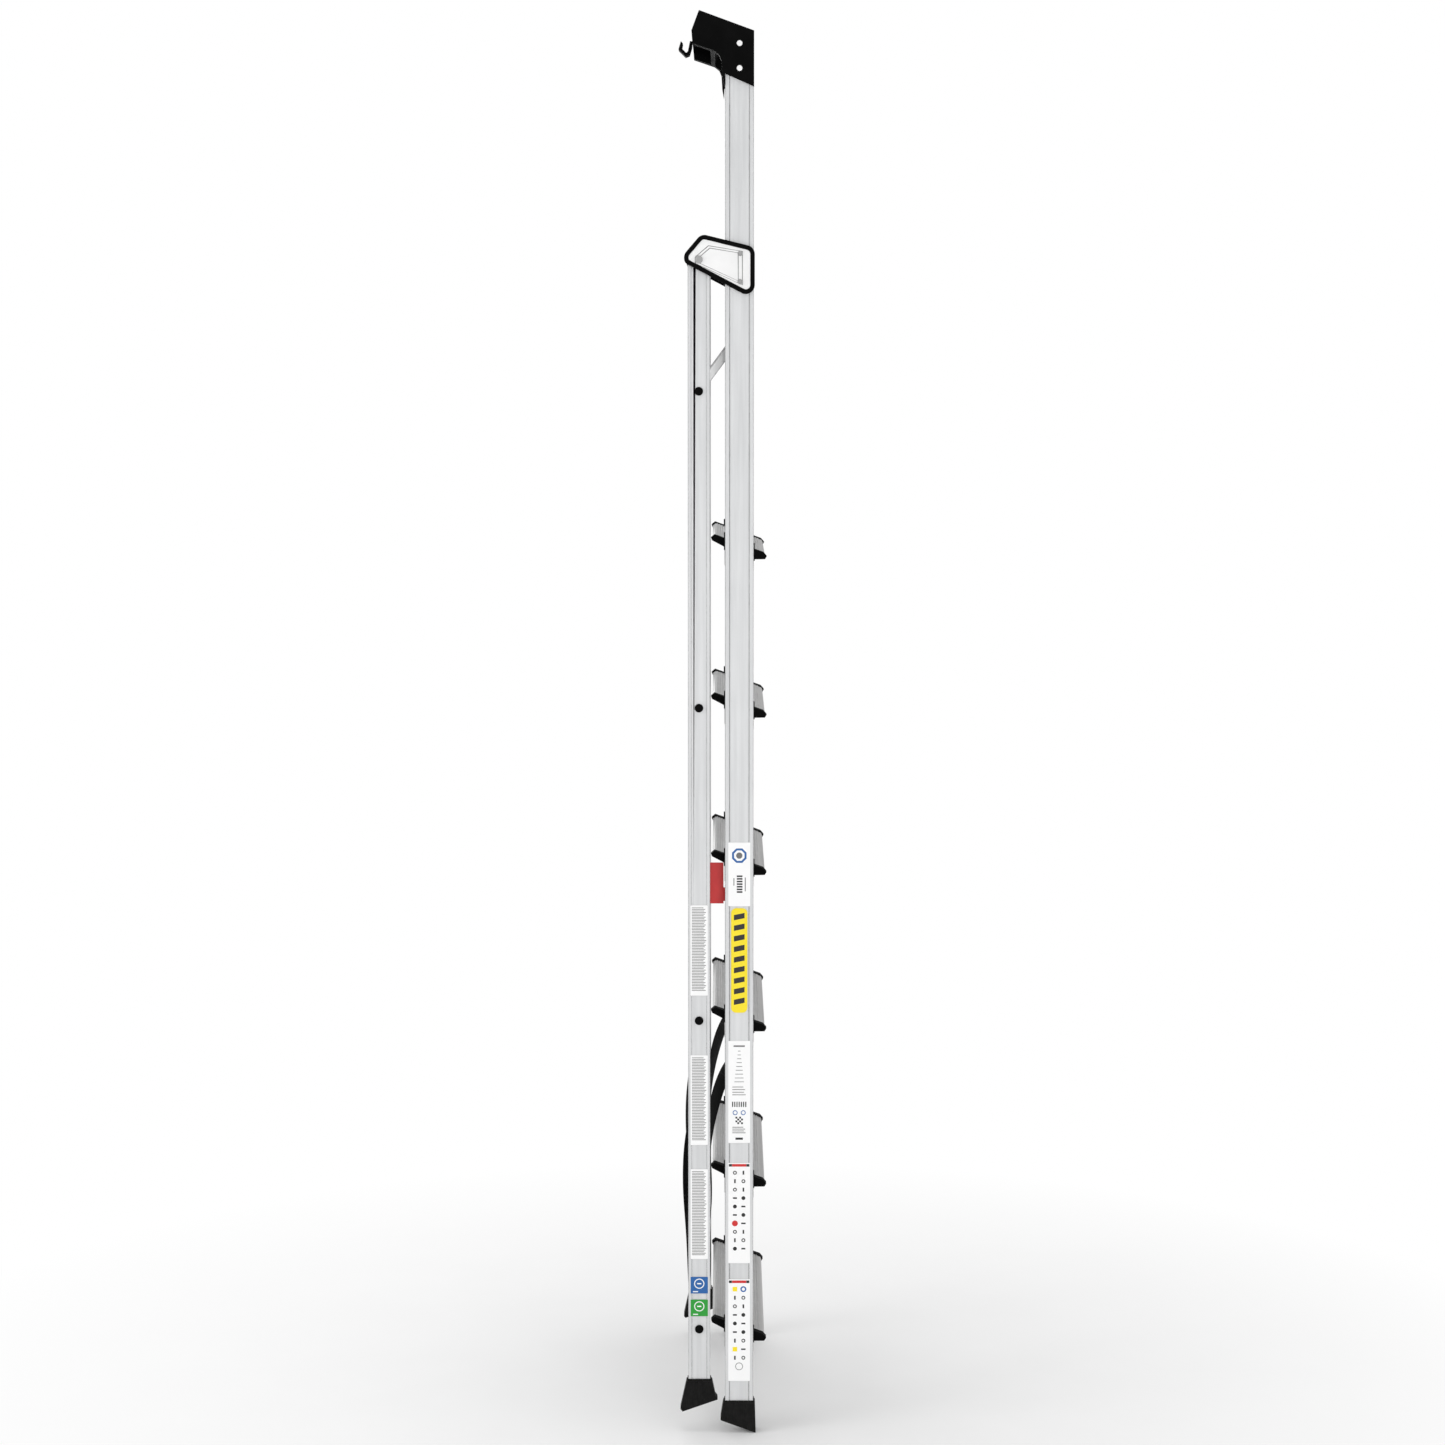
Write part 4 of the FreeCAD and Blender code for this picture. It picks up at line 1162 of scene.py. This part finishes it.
def floor_material():
    material, tree, shader = new_material("pale_studio_floor")
    shader.inputs["Roughness"].default_value = 0.7
    place = tree.nodes.new("ShaderNodeTexCoord")
    mottle = noise_node(tree, place.outputs["Object"], 6.0, detail=5.0)
    tree.links.new(mix_colour(tree, mottle, grey(0.82), grey(0.86)), shader.inputs["Base Color"])
    away = tree.nodes.new("ShaderNodeVectorMath")
    away.operation = "LENGTH"
    tree.links.new(place.outputs["Object"], away.inputs[0])
    fade = ramp_node(tree, away.outputs["Value"], FADE_START, FADE_END)
    seen = tree.nodes.new("ShaderNodeLightPath")
    share = math_node(tree, "MULTIPLY", fade, seen.outputs["Is Camera Ray"])
    white = tree.nodes.new("ShaderNodeEmission")
    mix = tree.nodes.new("ShaderNodeMixShader")
    tree.links.new(share, mix.inputs[0])
    tree.links.new(shader.outputs[0], mix.inputs[1])
    tree.links.new(white.outputs[0], mix.inputs[2])
    tree.links.new(mix.outputs[0], tree.nodes["Material Output"].inputs["Surface"])
    return material


def make_floor():
    bm = bmesh.new()
    bmesh.ops.create_circle(bm, cap_ends=True, radius=FLOOR_RADIUS, segments=FLOOR_SIDES)
    floor = piece_from(bm, "studio_floor")
    floor.data.materials.append(floor_material())
    floor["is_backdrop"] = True
    print("floor of radius", FLOOR_RADIUS)


make_floor()

# %% Lights and room


def softbox(name, place, target, size, power):
    data = bpy.data.lights.new(name, "AREA")
    data.shape = "RECTANGLE"
    data.size = size[0]
    data.size_y = size[1]
    data.energy = power
    light = bpy.data.objects.new(name, data)
    light.location = place
    light.rotation_euler = (Vector(target) - Vector(place)).to_track_quat("-Z", "Y").to_euler()
    bpy.context.scene.collection.objects.link(light)


# name, place, the point it is aimed at, width and height, power
SOFTBOXES = [
    ("side_softbox", (-5.0, -1.6, 1.5), (0, 0, 0.9), (2.4, 3.0), 78),
    ("rear_softbox", (-1.6, 3.6, 2.0), (0, 0, 1.1), (1.8, 2.6), 40),
    ("far_softbox", (3.6, 1.2, 2.6), (0, 0, 1.2), (2.4, 2.6), 40),
    ("top_softbox", (0.0, 0.0, 4.6), (0, 0, 0), (2.6, 2.6), 30),
]
for box in SOFTBOXES:
    softbox(*box)

ROOM_LIGHT = 0.66


def make_room():
    world = bpy.data.worlds.new("white_room")
    world.use_nodes = True
    tree = world.node_tree
    lit = tree.nodes["Background"]
    lit.inputs["Strength"].default_value = ROOM_LIGHT
    lit.inputs["Color"].default_value = (1, 1, 1, 1)
    seen = tree.nodes.new("ShaderNodeBackground")
    seen.inputs["Color"].default_value = (1, 1, 1, 1)
    path = tree.nodes.new("ShaderNodeLightPath")
    mix = tree.nodes.new("ShaderNodeMixShader")
    tree.links.new(path.outputs["Is Camera Ray"], mix.inputs[0])
    tree.links.new(lit.outputs[0], mix.inputs[1])
    tree.links.new(seen.outputs[0], mix.inputs[2])
    tree.links.new(mix.outputs[0], tree.nodes["World Output"].inputs["Surface"])
    bpy.context.scene.world = world
    bpy.context.scene.view_settings.view_transform = "Standard"


make_room()

# %% [markdown]
# ## Size and finish
#
# The finished model's box is set against the CAD box, and the last line prints how far all the
# pieces together have grown past it on each side, in millimetres.

# %% Write the sizes and finish
seen_low, seen_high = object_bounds()
below = [round(v * 1000, 2) for v in cad_low - seen_low]
above = [round(v * 1000, 2) for v in seen_high - cad_high]
print("grown by", below, above, "mm")
